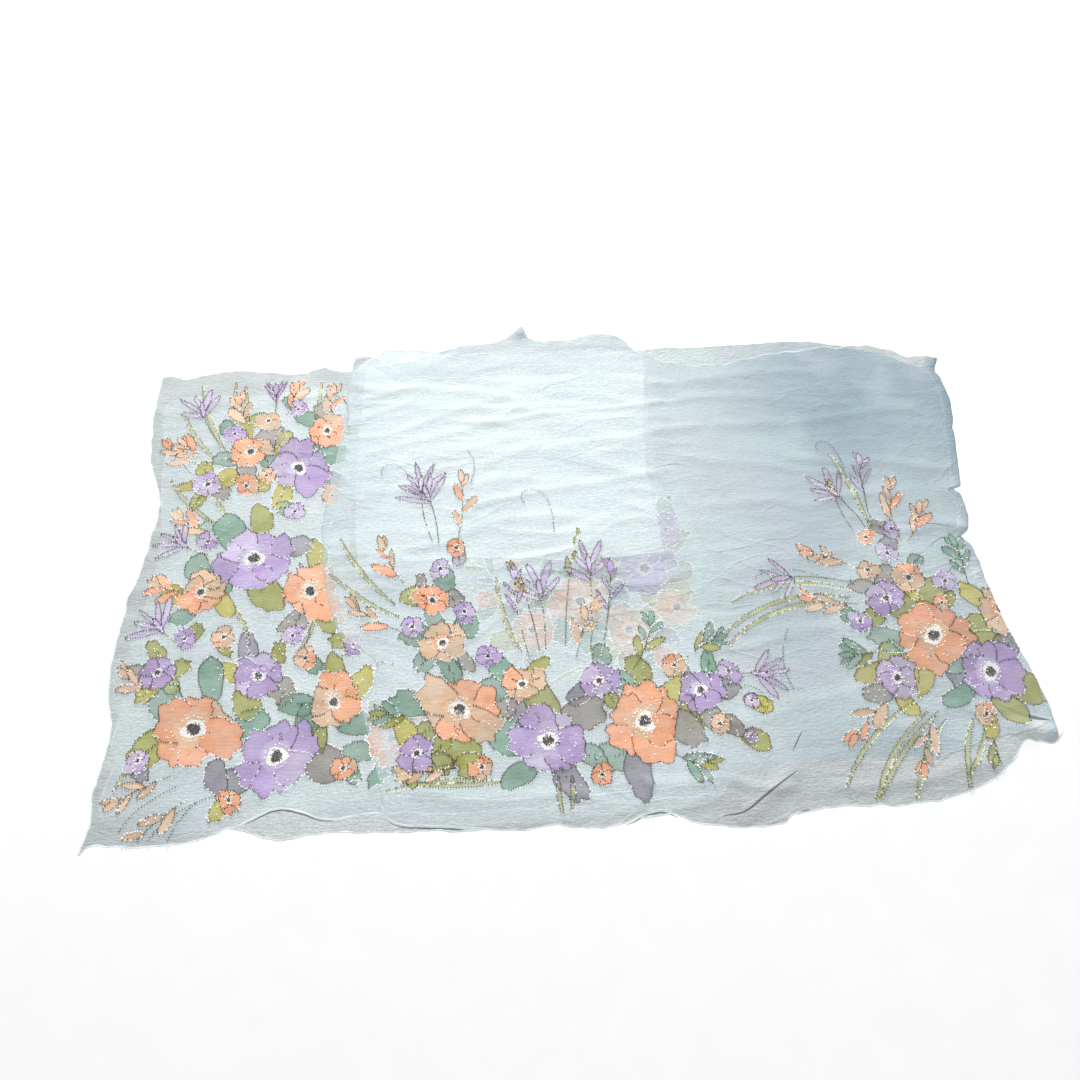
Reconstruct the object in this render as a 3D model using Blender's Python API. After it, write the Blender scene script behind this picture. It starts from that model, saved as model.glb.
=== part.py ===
"""Evening stole: one long sheer cloth with a rolled hem, folded back and forth and laid flat.

The cloth lies in four stretches, from the floor up: the lower stretch, the stretch with the free
end at the left, the hidden folds, and the top stretch, which turns over at both of its sides.
Lengths are in millimetres until the meshes are made. +X runs along the cloth, +Y across it.
"""

import bmesh
import bpy
import numpy as np

MM = 0.001

# Walls and the room between them
WALL = 1.2  # thickness of one layer of cloth
GAP = 0.4  # room between two layers
DOUBLED = 1.5  # what the turned-over part of the hidden folds adds
HEM = 3.0  # width of the rolled hem
HEM_RISE = 0.5  # how far the rolled hem stands above the cloth
HEM_EDGE = 0.7  # thickness of the hem at its very edge
FOLD_ROUND = 9.0  # width over which a fold turns down to what it lies on
FOLD_INSET = FOLD_ROUND + 2  # how far the layers inside a fold stop short of it
TURN_INSET = 2.0  # the same, at the fold under the top stretch
ROUNDED_EDGE = 14.0  # width over which the hidden folds thin out at their edges

# How a layer comes down past the edge of the layer below it
COVER = 10.0  # it stays at full height this far past that edge
SLOPE = 40.0  # and comes down over this width
FOLD_SLOPE = 16.0  # a shorter slope past the edge of the hidden folds
DOUBLED_SLOPE = 60.0  # the soft step round the turned-over part
PLAIN_MARGIN = 18.0  # the end stretch is plain to this far past what covers it
FADE_IN = 24.0  # and its soft folds have their whole height this far past it

# Edges of each stretch, as curves through these points, in columns x and y
END_LEFT = [
    (-450, -288), (-444, -262), (-446, -232), (-440, -176), (-448, -140), (-447, -62), (-436, -6),
    (-428, 60), (-431, 80), (-443, 114), (-449, 148), (-450, 205), (-449, 240),
]
END_TOP = [
    (-449, 240), (-416, 236), (-367, 244), (-304, 238), (-265, 243), (-234, 239), (-160, 250),
    (-122, 265), (-60, 275), (-35, 292), (-22, 274), (20, 271), (50, 279), (80, 270), (99, 246),
]
END_BOTTOM = [
    (-450, -288), (-438, -281), (-392, -284), (-354, -281), (-320, -272), (-279, -256),
    (-258, -259), (-226, -268), (-184, -264), (-100, -268), (0, -266), (128, -262),
]
TURN_BACK = [
    (128, -262), (129, -200), (132, -89), (142, -13), (136, 20), (118, 46), (98, 70), (92, 92),
    (98, 120), (104, 170), (99, 246),
]
TOP_LEFT = [
    (-183, -259), (-187, -237), (-196, -200), (-205, -167), (-197, -146), (-194, -122),
    (-212, -102), (-231, -86), (-247, -37), (-254, 24), (-249, 85), (-242, 145), (-236, 200),
    (-232, 246),
]
TOP_TOP = [
    (-232, 246), (-225, 255), (-203, 252), (-188, 236), (-166, 223), (-113, 217), (-57, 225),
    (-39, 232), (53, 228), (83, 240), (121, 233), (157, 226), (195, 226), (230, 236), (277, 243),
    (339, 246), (384, 241), (410, 226), (421, 228), (446, 225),
]
TOP_BOTTOM = [
    (-183, -259), (-172, -273), (-119, -280), (-56, -286), (-28, -282), (18, -287), (68, -274),
    (103, -287), (150, -292), (176, -290), (196, -281), (263, -278), (285, -280), (344, -273),
    (378, -260), (406, -238), (418, -226), (440, -231), (449, -222),
]
TOP_RIGHT = [
    (449, -222), (450, -205), (444, -160), (430, -100), (424, -36), (421, -18), (413, -9),
    (423, -1), (427, 22), (426, 41), (421, 49), (430, 57), (436, 105), (444, 156), (444, 195),
    (440, 208), (446, 225),
]
LOWER_LEFT = [
    (-432, -262), (-439, -240), (-430, -205), (-437, -188), (-428, -125), (-432, -94),
    (-426, -50), (-419, 15), (-429, 90), (-431, 140), (-441, 182), (-436, 203),
]
LOWER_TOP = [
    (-436, 203), (-404, 209), (-316, 206), (-245, 204), (-150, 220), (0, 240), (85, 252),
    (155, 254), (226, 256), (290, 257), (330, 249), (384, 234), (410, 218), (430, 211),
]
LOWER_BOTTOM = [
    (-432, -262), (-376, -270), (-320, -272), (-276, -283), (-229, -278), (-167, -282),
    (-59, -282), (87, -276), (126, -266), (147, -244), (202, -239), (259, -237), (340, -238),
    (400, -224), (436, -206),
]
HIDDEN_TOP = [
    (-222, 243), (-207, 254), (-193, 265), (-167, 264), (-140, 259), (-113, 254), (-62, 254),
    (8, 252), (60, 254), (97, 242),
]
HIDDEN_BOTTOM = [(-174, -250), (-100, -256), (0, -257), (126, -253)]

# The part of the hidden folds that is turned over on itself, as a plain oblong
DOUBLED_X = (-215, 100)
DOUBLED_Y = (-15, 245)

# Soft folds, in columns x and y of one end, x and y of the other, height, half width
END_FOLDS = [
    (-440, 190, -270, 205, 0.9, 9),
    (-425, 150, -300, 140, 0.7, 10),
    (-430, 104, -330, 96, 0.9, 9),
    (-425, 30, -280, 44, 0.8, 10),
    (-430, -38, -300, -30, 0.8, 11),
    (-432, -92, -270, -100, 0.9, 10),
    (-430, -160, -250, -150, 0.7, 11),
    (-438, -215, -240, -222, 0.9, 10),
    (-436, -262, -300, -250, 0.9, 9),
]
TOP_FOLDS = [
    (-215, 205, -60, 192, 1.3, 11),
    (-190, 168, 40, 176, 1.0, 10),
    (-100, 150, 120, 178, 1.4, 9),
    (-160, 120, 20, 112, 1.0, 12),
    (-20, 110, 150, 138, 1.3, 10),
    (-200, 76, -40, 84, 0.9, 12),
    (-90, 54, 110, 78, 1.3, 11),
    (-150, 22, 60, 34, 0.9, 12),
    (-215, -20, -40, -36, 0.8, 13),
    (-60, -60, 120, -40, 0.8, 13),
    (110, 208, 300, 214, 1.2, 9),
    (150, 186, 330, 168, 0.9, 11),
    (170, 140, 400, 156, 1.1, 12),
    (140, 96, 300, 84, 1.0, 12),
    (250, 104, 425, 72, 1.2, 11),
    (160, 36, 360, 50, 0.9, 13),
    (300, 14, 418, -4, 1.3, 9),
    (170, -30, 330, -22, 0.8, 13),
    (150, -120, 300, -104, 0.9, 13),
    (140, -196, 270, -176, 1.0, 12),
    (300, -206, 420, -190, 0.9, 11),
    (-160, -252, 20, -262, 1.2, 9),
    (60, -248, 190, -258, 1.2, 9),
    (230, -262, 380, -246, 1.0, 9),
]
# Places where the cloth stands up off what it lies on, in the same columns
END_PEAKS = [(-35, 294, -38, 286, 8.0, 8)]
TOP_PEAKS = [
    (452, -224, 414, -214, 7.0, 10),
    (195, -244, 152, -280, 2.2, 9),
    (440, 54, 404, 46, 2.0, 9),
    (436, -4, 400, 2, 2.5, 9),
]

SMOOTH_ANGLE = 50.0  # faces meeting at less than this, in degrees, are shaded smooth
STEPS_PER_SPAN = 24  # how finely each span of an edge curve is worked out
SHARES_OF_SPAN = np.linspace(0, 1, STEPS_PER_SPAN, endpoint=False)


def curve_through(points, shares):
    """Points at these shares of the length of a smooth curve (Catmull-Rom) through the given points."""
    p = np.array(points, float)
    p = np.vstack([2 * p[0] - p[1], p, 2 * p[-1] - p[-2]])
    a, b, c, d = p[:-3], p[1:-2], p[2:-1], p[3:]
    t = SHARES_OF_SPAN[:, None, None]
    fine = 0.5 * (2 * b + (c - a) * t + (2 * a - 5 * b + 4 * c - d) * t**2 + (3 * b - a - 3 * c + d) * t**3)
    fine = np.vstack([fine.transpose(1, 0, 2).reshape(-1, 2), p[-2]])
    steps = np.hypot(*np.diff(fine, axis=0).T)
    along = np.concatenate([[0], np.cumsum(steps)]) / steps.sum()
    return np.column_stack([np.interp(shares, along, fine[:, k]) for k in (0, 1)])


def moved(points, dx):
    return [(x + dx, y) for x, y in points]


def shares_with_hems(count, length):
    """Shares of a side: even steps, with one more row at the width of the hem from each edge."""
    hem = HEM / length
    return np.concatenate([[0], np.linspace(hem, 1 - hem, count), [1]])


def shares_with_folds(count, length):
    """Shares of a side with a fold at each end: rows close enough there to turn the cloth down."""
    turn = np.array([0, HEM, FOLD_ROUND]) / length
    return np.concatenate([turn, np.linspace(turn[-1], 1 - turn[-1], count)[1:-1], (1 - turn)[::-1]])


def patch(left, right, bottom, top, across, up):
    """A grid of points filled in between four edge curves (a Coons patch)."""
    low, high = curve_through(bottom, across), curve_through(top, across)
    near, far = curve_through(left, up), curve_through(right, up)
    s, t = across[None, :, None], up[:, None, None]
    ruled = (1 - t) * low[None] + t * high[None] + (1 - s) * near[:, None] + s * far[:, None]
    corners = (1 - t) * ((1 - s) * low[0] + s * low[-1]) + t * ((1 - s) * high[0] + s * high[-1])
    return ruled - corners


def loop_of(left, right, bottom, top, count=60):
    """The closed outline of a stretch, anticlockwise from above."""
    shares = np.linspace(0, 1, count, endpoint=False)
    sides = [curve_through(bottom, shares), curve_through(right, shares)]
    sides += [curve_through(top[::-1], shares), curve_through(left[::-1], shares)]
    return np.vstack(sides)


def distance_inside(x, y, loop):
    """Distance of each point from an outline, above 0 inside it and below 0 outside."""
    p = np.stack([x.ravel(), y.ravel()], 1)[:, None]
    a, b = loop[None], np.roll(loop, -1, 0)[None]
    along = b - a
    t = np.clip(((p - a) * along).sum(2) / (along**2).sum(2), 0, 1)[..., None]
    nearest = np.sqrt(((p - a - t * along) ** 2).sum(2)).min(1)
    crosses = (a[..., 1] > p[..., 1]) != (b[..., 1] > p[..., 1])
    rise = np.where(along[..., 1] == 0, 1, along[..., 1])
    at = a[..., 0] + (p[..., 1] - a[..., 1]) / rise * along[..., 0]
    inside = (crosses & (p[..., 0] < at)).sum(1) % 2 == 1
    return np.where(inside, nearest, -nearest).reshape(x.shape)


def ease(t):
    t = np.clip(t, 0, 1)
    return t * t * (3 - 2 * t)


def step_over(distance, slope=SLOPE):
    """1 over a layer and just past its edge, easing to 0 further out."""
    return ease((distance + COVER + slope) / slope)


def over_doubled(x, y):
    """1 over the turned-over part of the hidden folds, easing to 0 round it."""
    low = np.minimum(x - DOUBLED_X[0], y - DOUBLED_Y[0])
    high = np.minimum(DOUBLED_X[1] - x, DOUBLED_Y[1] - y)
    return ease(np.minimum(low, high) / DOUBLED_SLOPE + 1)


def folds(x, y, rows):
    """The height of soft ridges: a bell-shaped section carried along each row's line."""
    total = np.zeros_like(x)
    for x0, y0, x1, y1, height, half_width in rows:
        dx, dy = x1 - x0, y1 - y0
        t = np.clip(((x - x0) * dx + (y - y0) * dy) / (dx * dx + dy * dy), 0, 1)
        away = np.hypot(x - x0 - t * dx, y - y0 - t * dy)
        total = np.maximum(total, height * np.exp(-((away / half_width) ** 2)))
    return total


def hem_profile(wall, hemmed_sides):
    """The wall with a rolled hem: thin at the very edge, then a bead one hem's width in."""
    edge_row = {"left": np.s_[:, 0], "bottom": np.s_[0, :], "top": np.s_[-1, :]}
    bead_row = {"left": np.s_[:, 1], "bottom": np.s_[1, :], "top": np.s_[-2, :]}
    for side in hemmed_sides:
        wall[bead_row[side]] += HEM_RISE
    for side in hemmed_sides:
        wall[edge_row[side]] = HEM_EDGE
    return wall


def fabric(name, colour):
    material = bpy.data.materials.new(name)
    material.use_nodes = True
    shader = material.node_tree.nodes["Principled BSDF"]
    shader.inputs["Base Color"].default_value = (*colour, 1)
    shader.inputs["Roughness"].default_value = 0.75
    shader.inputs["Metallic"].default_value = 0
    return material


def add_object(name, mesh, material):
    mesh.materials.append(material)
    mesh.shade_smooth()
    mesh.set_sharp_from_angle(angle=np.radians(SMOOTH_ANGLE))
    made = bpy.data.objects.new(name, mesh)
    bpy.context.scene.collection.objects.link(made)
    return made


def sheet(name, grid, under, wall, material):
    """A closed wall of cloth: an underside grid, the same grid raised by the wall, and the rim."""
    rows, columns = under.shape
    count = rows * columns
    lower = np.dstack([grid, under]).reshape(-1, 3)
    upper = np.dstack([grid, under + wall]).reshape(-1, 3)
    index = np.arange(count).reshape(rows, columns)
    quads = np.stack([index[:-1, :-1], index[:-1, 1:], index[1:, 1:], index[1:, :-1]], -1).reshape(-1, 4)
    rim = np.concatenate([index[0, :], index[1:, -1], index[-1, -2::-1], index[-2:0:-1, 0]])
    after = np.roll(rim, -1)
    walls = np.stack([rim, after, after + count, rim + count], -1)
    faces = np.vstack([quads[:, ::-1], quads + count, walls])
    mesh = bpy.data.meshes.new(name)
    mesh.from_pydata((np.vstack([lower, upper]) * MM).tolist(), [], faces.tolist())
    return add_object(name, mesh, material)


def slab(name, loop, thickness, material):
    """A flat layer: the outline filled and extruded upwards."""
    shape = bmesh.new()
    corners = [shape.verts.new((x * MM, y * MM, 0)) for x, y in loop]
    floor = shape.faces.new(corners)
    lifted = bmesh.ops.extrude_face_region(shape, geom=[floor])["geom"]
    raised = [v for v in lifted if isinstance(v, bmesh.types.BMVert)]
    bmesh.ops.translate(shape, verts=raised, vec=(0, 0, thickness * MM))
    bmesh.ops.recalc_face_normals(shape, faces=shape.faces)
    mesh = bpy.data.meshes.new(name)
    shape.to_mesh(mesh)
    shape.free()
    return add_object(name, mesh, material)


for old in list(bpy.data.objects):
    bpy.data.objects.remove(old)

lower_right = moved(TOP_RIGHT, -FOLD_INSET)
lower_right[0], lower_right[-1] = LOWER_BOTTOM[-1], LOWER_TOP[-1]
hidden_left = moved(TOP_LEFT, FOLD_INSET)
hidden_left[0], hidden_left[-1] = HIDDEN_BOTTOM[0], HIDDEN_TOP[0]
hidden_right = moved(TURN_BACK, -TURN_INSET)
hidden_right[0], hidden_right[-1] = HIDDEN_BOTTOM[-1], HIDDEN_TOP[-1]

lower_loop = loop_of(LOWER_LEFT, lower_right, LOWER_BOTTOM, LOWER_TOP, 36)
end_loop = loop_of(END_LEFT, TURN_BACK, END_BOTTOM, END_TOP)
hidden_loop = loop_of(hidden_left, hidden_right, HIDDEN_BOTTOM, HIDDEN_TOP)
top_loop = loop_of(TOP_LEFT, TOP_RIGHT, TOP_BOTTOM, TOP_TOP)


def bed_of_end(x, y):
    """Underside of the stretch with the free end: on the lower stretch."""
    return (WALL + GAP) * step_over(distance_inside(x, y, lower_loop))


def bed_of_hidden(x, y):
    """Underside of the hidden folds: on the stretch with the free end."""
    return bed_of_end(x, y) + (WALL + GAP) * step_over(distance_inside(x, y, end_loop))


def rise_over_hidden(x, y):
    """What the hidden folds add under the top stretch."""
    on_folds = (WALL + GAP) * step_over(distance_inside(x, y, hidden_loop), FOLD_SLOPE)
    return on_folds + DOUBLED * over_doubled(x, y)


# Lower stretch: flat on the floor, with the hem of the hidden end at the left
slab("lower_stretch", lower_loop, WALL, fabric("lower_cloth", (0.60, 0.66, 0.69)))

# Stretch with the free end: it shows at the left and runs on under the top stretch
grid = patch(
    END_LEFT, TURN_BACK, END_BOTTOM, END_TOP, shares_with_hems(31, 570), shares_with_hems(31, 520)
)
x, y = grid[..., 0], grid[..., 1]
covered = np.maximum(distance_inside(x, y, top_loop), distance_inside(x, y, hidden_loop))
wall = WALL + folds(x, y, END_FOLDS) * ease((-covered - PLAIN_MARGIN / 2) / (FADE_IN - PLAIN_MARGIN / 2))
wall = hem_profile(wall, ["left", "top", "bottom"])
wall = np.where(covered > -PLAIN_MARGIN, np.minimum(wall, WALL), wall)
under = bed_of_end(x, y) + folds(x, y, END_PEAKS)
sheet("end_stretch", grid, under, wall, fabric("end_cloth", (0.62, 0.72, 0.76)))

# Hidden folds: the turned-back stretch, doubled over in its upper half, as one rounded solid
grid = patch(
    hidden_left, hidden_right, HIDDEN_BOTTOM, HIDDEN_TOP, shares_with_hems(19, 330), shares_with_hems(29, 500)
)
x, y = grid[..., 0], grid[..., 1]
rounding = ease(distance_inside(x, y, hidden_loop) / ROUNDED_EDGE)
wall = HEM_EDGE + (WALL - HEM_EDGE) * rounding + DOUBLED * over_doubled(x, y) * rounding
sheet("hidden_folds", grid, bed_of_hidden(x, y), wall, fabric("hidden_cloth", (0.70, 0.78, 0.82)))

# Top stretch: over the hidden folds, down to the lower stretch, and turned down at both folds
across, up = shares_with_folds(40, 680), shares_with_hems(35, 510)
grid = patch(TOP_LEFT, TOP_RIGHT, TOP_BOTTOM, TOP_TOP, across, up)
x, y = grid[..., 0], grid[..., 1]
from_left = np.hypot(x - x[:, :1], y - y[:, :1])
from_right = np.hypot(x - x[:, -1:], y - y[:, -1:])
under = bed_of_hidden(x, y) + rise_over_hidden(x, y) * ease(from_left / FOLD_ROUND)
under = GAP + (under - GAP) * ease(from_right / FOLD_ROUND) + folds(x, y, TOP_PEAKS)
wall = WALL + folds(x, y, TOP_FOLDS)
wall = hem_profile(wall, ["bottom", "top"])
sheet("top_stretch", grid, under, wall, fabric("top_cloth", (0.74, 0.84, 0.88)))
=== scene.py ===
# %% [markdown]
# An evening stole, folded and laid flat
#
# The stole is one long piece of pale blue crinkled chiffon with a narrow rolled hem, painted flowers
# and small beads sewn along the painted outlines. It is folded back and forth, so several sheer
# layers lie on each other, and where more layers lie, the cloth looks lighter. This lesson dresses
# the plain solids of the frame: each stretch of cloth becomes a thin crinkled shell that lets the one
# below show through, then come its hems, the paint and the beads. Lengths are in millimetres until a
# mesh is made.

import bpy
import numpy as np
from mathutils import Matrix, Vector


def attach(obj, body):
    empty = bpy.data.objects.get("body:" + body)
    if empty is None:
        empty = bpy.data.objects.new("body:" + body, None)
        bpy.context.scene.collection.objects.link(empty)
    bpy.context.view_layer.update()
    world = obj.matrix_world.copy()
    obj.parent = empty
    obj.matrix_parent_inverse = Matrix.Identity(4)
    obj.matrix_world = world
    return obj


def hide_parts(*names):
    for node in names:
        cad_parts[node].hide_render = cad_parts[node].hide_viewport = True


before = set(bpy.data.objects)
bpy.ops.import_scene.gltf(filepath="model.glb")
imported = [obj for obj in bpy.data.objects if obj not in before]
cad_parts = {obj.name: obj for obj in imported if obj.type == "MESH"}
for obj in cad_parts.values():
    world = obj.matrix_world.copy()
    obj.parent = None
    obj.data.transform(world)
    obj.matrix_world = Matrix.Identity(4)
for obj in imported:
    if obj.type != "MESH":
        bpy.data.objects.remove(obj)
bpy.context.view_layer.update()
MM = 0.001
print("solids:", sorted(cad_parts))

# %% [markdown]
# The outline of each stretch
#
# A cloth edge that lies loose is a smooth wandering line, so each edge is a curve through a few
# points, read as x along the cloth and y across it. Four such edges close one stretch. The points
# are those of the solids, because the dressed cloth has to lie in the space that they hold.

# %% Edges of the stretches
END_LEFT = [
    (-450, -288), (-444, -262), (-446, -232), (-440, -176), (-448, -140), (-447, -62), (-436, -6),
    (-428, 60), (-431, 80), (-443, 114), (-449, 148), (-450, 205), (-449, 240),
]
END_TOP = [
    (-449, 240), (-416, 236), (-367, 244), (-304, 238), (-265, 243), (-234, 239), (-160, 250),
    (-122, 265), (-60, 275), (-35, 292), (-22, 274), (20, 271), (50, 279), (80, 270), (99, 246),
]
END_BOTTOM = [
    (-450, -288), (-438, -281), (-392, -284), (-354, -281), (-320, -272), (-279, -256),
    (-258, -259), (-226, -268), (-184, -264), (-100, -268), (0, -266), (128, -262),
]
TURN_BACK = [
    (128, -262), (129, -200), (132, -89), (142, -13), (136, 20), (118, 46), (98, 70), (92, 92),
    (98, 120), (104, 170), (99, 246),
]
TOP_LEFT = [
    (-183, -259), (-187, -237), (-196, -200), (-205, -167), (-197, -146), (-194, -122),
    (-212, -102), (-231, -86), (-247, -37), (-254, 24), (-249, 85), (-242, 145), (-236, 200),
    (-232, 246),
]
TOP_TOP = [
    (-232, 246), (-225, 255), (-203, 252), (-188, 236), (-166, 223), (-113, 217), (-57, 225),
    (-39, 232), (53, 228), (83, 240), (121, 233), (157, 226), (195, 226), (230, 236), (277, 243),
    (339, 246), (384, 241), (410, 226), (421, 228), (446, 225),
]
TOP_BOTTOM = [
    (-183, -259), (-172, -273), (-119, -280), (-56, -286), (-28, -282), (18, -287), (68, -274),
    (103, -287), (150, -292), (176, -290), (196, -281), (263, -278), (285, -280), (344, -273),
    (378, -260), (406, -238), (418, -226), (440, -231), (449, -222),
]
TOP_RIGHT = [
    (449, -222), (450, -205), (444, -160), (430, -100), (424, -36), (421, -18), (413, -9),
    (423, -1), (427, 22), (426, 41), (421, 49), (430, 57), (436, 105), (444, 156), (444, 195),
    (440, 208), (446, 225),
]
LOWER_LEFT = [
    (-432, -262), (-439, -240), (-430, -205), (-437, -188), (-428, -125), (-432, -94),
    (-426, -50), (-419, 15), (-429, 90), (-431, 140), (-441, 182), (-436, 203),
]
LOWER_TOP = [
    (-436, 203), (-404, 209), (-316, 206), (-245, 204), (-150, 220), (0, 240), (85, 252),
    (155, 254), (226, 256), (290, 257), (330, 249), (384, 234), (410, 218), (430, 211),
]
LOWER_BOTTOM = [
    (-432, -262), (-376, -270), (-320, -272), (-276, -283), (-229, -278), (-167, -282),
    (-59, -282), (87, -276), (126, -266), (147, -244), (202, -239), (259, -237), (340, -238),
    (400, -224), (436, -206),
]
HIDDEN_TOP = [
    (-222, 243), (-207, 254), (-193, 265), (-167, 264), (-140, 259), (-113, 254), (-62, 254),
    (8, 252), (60, 254), (97, 242),
]
HIDDEN_BOTTOM = [(-174, -250), (-100, -256), (0, -257), (126, -253)]

# %% [markdown]
# Curves through points
#
# An edge of cloth has no sharp corner between its ends, so a curve that passes smoothly through all its
# points suits it better than straight pieces would. The same helpers measure lengths along a path and
# find the direction across it, for hems, stems and rows of beads later on.

# %% Curves
FOLD_INSET = 11.0  # how far the layers inside a fold stop short of it
TURN_INSET = 2.0  # the same at the hidden fold
STEPS_PER_SPAN = 24  # points between two given ones


def points_at(places, along, path):
    """Points of a path at these places, where 'along' says how far along it its own points lie."""
    return np.column_stack([np.interp(places, along, path[:, k]) for k in (0, 1)])


def curve_through(points, shares):
    """Points at these shares of the length of a smooth curve (Catmull-Rom) through the given points."""
    p = np.array(points, float)
    p = np.vstack([2 * p[0] - p[1], p, 2 * p[-1] - p[-2]])
    a, b, c, d = p[:-3], p[1:-2], p[2:-1], p[3:]
    t = np.linspace(0, 1, STEPS_PER_SPAN, endpoint=False)[:, None, None]
    fine = 0.5 * (2 * b + (c - a) * t + (2 * a - 5 * b + 4 * c - d) * t**2 + (3 * b - a - 3 * c + d) * t**3)
    fine = np.vstack([fine.transpose(1, 0, 2).reshape(-1, 2), p[-2]])
    steps = np.hypot(*np.diff(fine, axis=0).T)
    return points_at(shares, np.concatenate([[0], np.cumsum(steps)]) / steps.sum(), fine)


def lengths_along(path):
    """How far along a path each of its points lies."""
    return np.concatenate([[0], np.cumsum(np.hypot(*np.diff(path, axis=0).T))])


def normals(path):
    """Unit vectors to the left of a path, one at each of its points."""
    way = np.gradient(path, axis=0)
    way /= np.hypot(way[:, 0], way[:, 1])[:, None]
    return np.column_stack([-way[:, 1], way[:, 0]])


def inset(points, dx, first, last):
    """The same edge moved sideways by dx, between two given corners."""
    return [first] + [(x + dx, y) for x, y in points[1:-1]] + [last]


LOWER_RIGHT = inset(TOP_RIGHT, -FOLD_INSET, LOWER_BOTTOM[-1], LOWER_TOP[-1])
HIDDEN_LEFT = inset(TOP_LEFT, FOLD_INSET, HIDDEN_BOTTOM[0], HIDDEN_TOP[0])
HIDDEN_RIGHT = inset(TURN_BACK, -TURN_INSET, HIDDEN_BOTTOM[-1], HIDDEN_TOP[-1])
print("lower edge of the top stretch:", round(float(lengths_along(np.array(TOP_BOTTOM))[-1])), "mm long")

# %% [markdown]
# Chance that stays the same
#
# Crepe crinkles, wandering hems and blotted paint are all uneven in a soft way. One helper gives that:
# random numbers on a lattice, blended smoothly in between, with a fixed seed so that every run makes
# the same stole.

# %% Smooth chance
LATTICE = 128  # numbers along each side of the lattice
HEM_WAVES = [(1.3, 17), (0.7, 7)]  # height and length of the small waves along a hem
CORNER_FADE = 15.0  # length over which those waves fade in from a corner


def drift(x, y, size_x, size_y, seed):
    """Soft wandering values from -1 to 1: lattice numbers blended with smoothstep weights, so features
    are about size_x long and size_y wide."""
    numbers = np.random.default_rng(seed).uniform(-1, 1, (LATTICE, LATTICE))
    u, v = np.asarray(x) / size_x + 40.3, np.asarray(y) / size_y + 40.7
    i, j = np.floor(u).astype(int), np.floor(v).astype(int)
    fu, fv = u - i, v - j
    fu, fv = fu * fu * (3 - 2 * fu), fv * fv * (3 - 2 * fv)
    i0, j0, i1, j1 = i % LATTICE, j % LATTICE, (i + 1) % LATTICE, (j + 1) % LATTICE
    low = numbers[i0, j0] * (1 - fu) + numbers[i1, j0] * fu
    high = numbers[i0, j1] * (1 - fu) + numbers[i1, j1] * fu
    return low * (1 - fv) + high * fv


def ease(t):
    """Smoothstep: 0 below 0, 1 above 1, and t squared times (3 - 2t) between."""
    t = np.clip(t, 0, 1)
    return t * t * (3 - 2 * t)


def ruffled_edge(points, shares, seed, much=1.0):
    """An edge curve with small hem waves: it moves along its own normal by drifting amounts that fade
    to nothing at both corners."""
    edge = curve_through(points, shares)
    length = lengths_along(edge)
    waves = [high * drift(length, 0, long, 9, seed + k) for k, (high, long) in enumerate(HEM_WAVES)]
    fade = ease(np.minimum(length, length[-1] - length) / CORNER_FADE)
    return edge + normals(edge) * (much * sum(waves) * fade)[:, None]


# %% [markdown]
# How high each layer lies
#
# Every layer lies on the one below and comes down past its edge. The height of a layer is worked out
# once on a raster of the floor plan, as the height of what carries it plus a wall, and everything else
# asks that raster: the shell itself, the paint on it and the beads sewn to it. So they always agree.

# %% The floor plan raster
WALL = 1.2  # thickness of one layer in the solids
GAP = 0.4  # room between two layers
DOUBLED = 1.5  # what the turned-over part of the hidden folds adds
COVER = 10.0  # a layer stays at full height this far past the edge below it
SLOPE = 40.0  # and comes down over this width
FOLD_SLOPE = 16.0  # a shorter slope past the hidden folds
DOUBLED_SLOPE = 60.0  # the soft step round the turned-over part
CLEARANCE = 1.0  # room for paint between a layer and the next
DOUBLED_X = (-215, 100)  # where that turned-over part lies
DOUBLED_Y = (-15, 245)
COARSE = 4.0  # raster step for the slow distance sums
FINE = 1.0  # raster step for the crinkles
PLAN_X = (-470, 470)
PLAN_Y = (-310, 310)


def plan_axes(step):
    """The x and the y of a raster's columns and rows."""
    return np.arange(PLAN_X[0], PLAN_X[1] + step, step), np.arange(PLAN_Y[0], PLAN_Y[1] + step, step)


def look_up(raster, step, x, y):
    """The raster's value at any point, blended between its four nearest cells."""
    u = np.clip((np.asarray(x) - PLAN_X[0]) / step, 0, raster.shape[1] - 1.001)
    v = np.clip((np.asarray(y) - PLAN_Y[0]) / step, 0, raster.shape[0] - 1.001)
    i, j = np.floor(v).astype(int), np.floor(u).astype(int)
    fv, fu = v - i, u - j
    low = raster[i, j] * (1 - fu) + raster[i, j + 1] * fu
    high = raster[i + 1, j] * (1 - fu) + raster[i + 1, j + 1] * fu
    return low * (1 - fv) + high * fv


def loop_of(left, right, bottom, top, count=60):
    """The closed outline of a stretch, anticlockwise from above."""
    shares = np.linspace(0, 1, count, endpoint=False)
    sides = [curve_through(bottom, shares), curve_through(right, shares)]
    sides += [curve_through(top[::-1], shares), curve_through(left[::-1], shares)]
    return np.vstack(sides)


def distance_raster(loop):
    """Distance from an outline on the coarse raster: above 0 inside it and below 0 outside. A point is
    inside where a ray from it crosses the outline an odd number of times."""
    x, y = np.meshgrid(*plan_axes(COARSE))
    start, way = loop, np.roll(loop, -1, 0) - loop
    nearest = np.full(x.shape, 1e9)
    crossings = np.zeros(x.shape, int)
    for (ax, ay), (dx, dy) in zip(start, way):
        t = np.clip(((x - ax) * dx + (y - ay) * dy) / (dx * dx + dy * dy), 0, 1)
        nearest = np.minimum(nearest, np.hypot(x - ax - t * dx, y - ay - t * dy))
        spans = (ay > y) != (ay + dy > y)
        crossings += spans & (x < ax + (y - ay) / (dy if dy else 1) * dx)
    return np.where(crossings % 2 == 1, nearest, -nearest)


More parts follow.
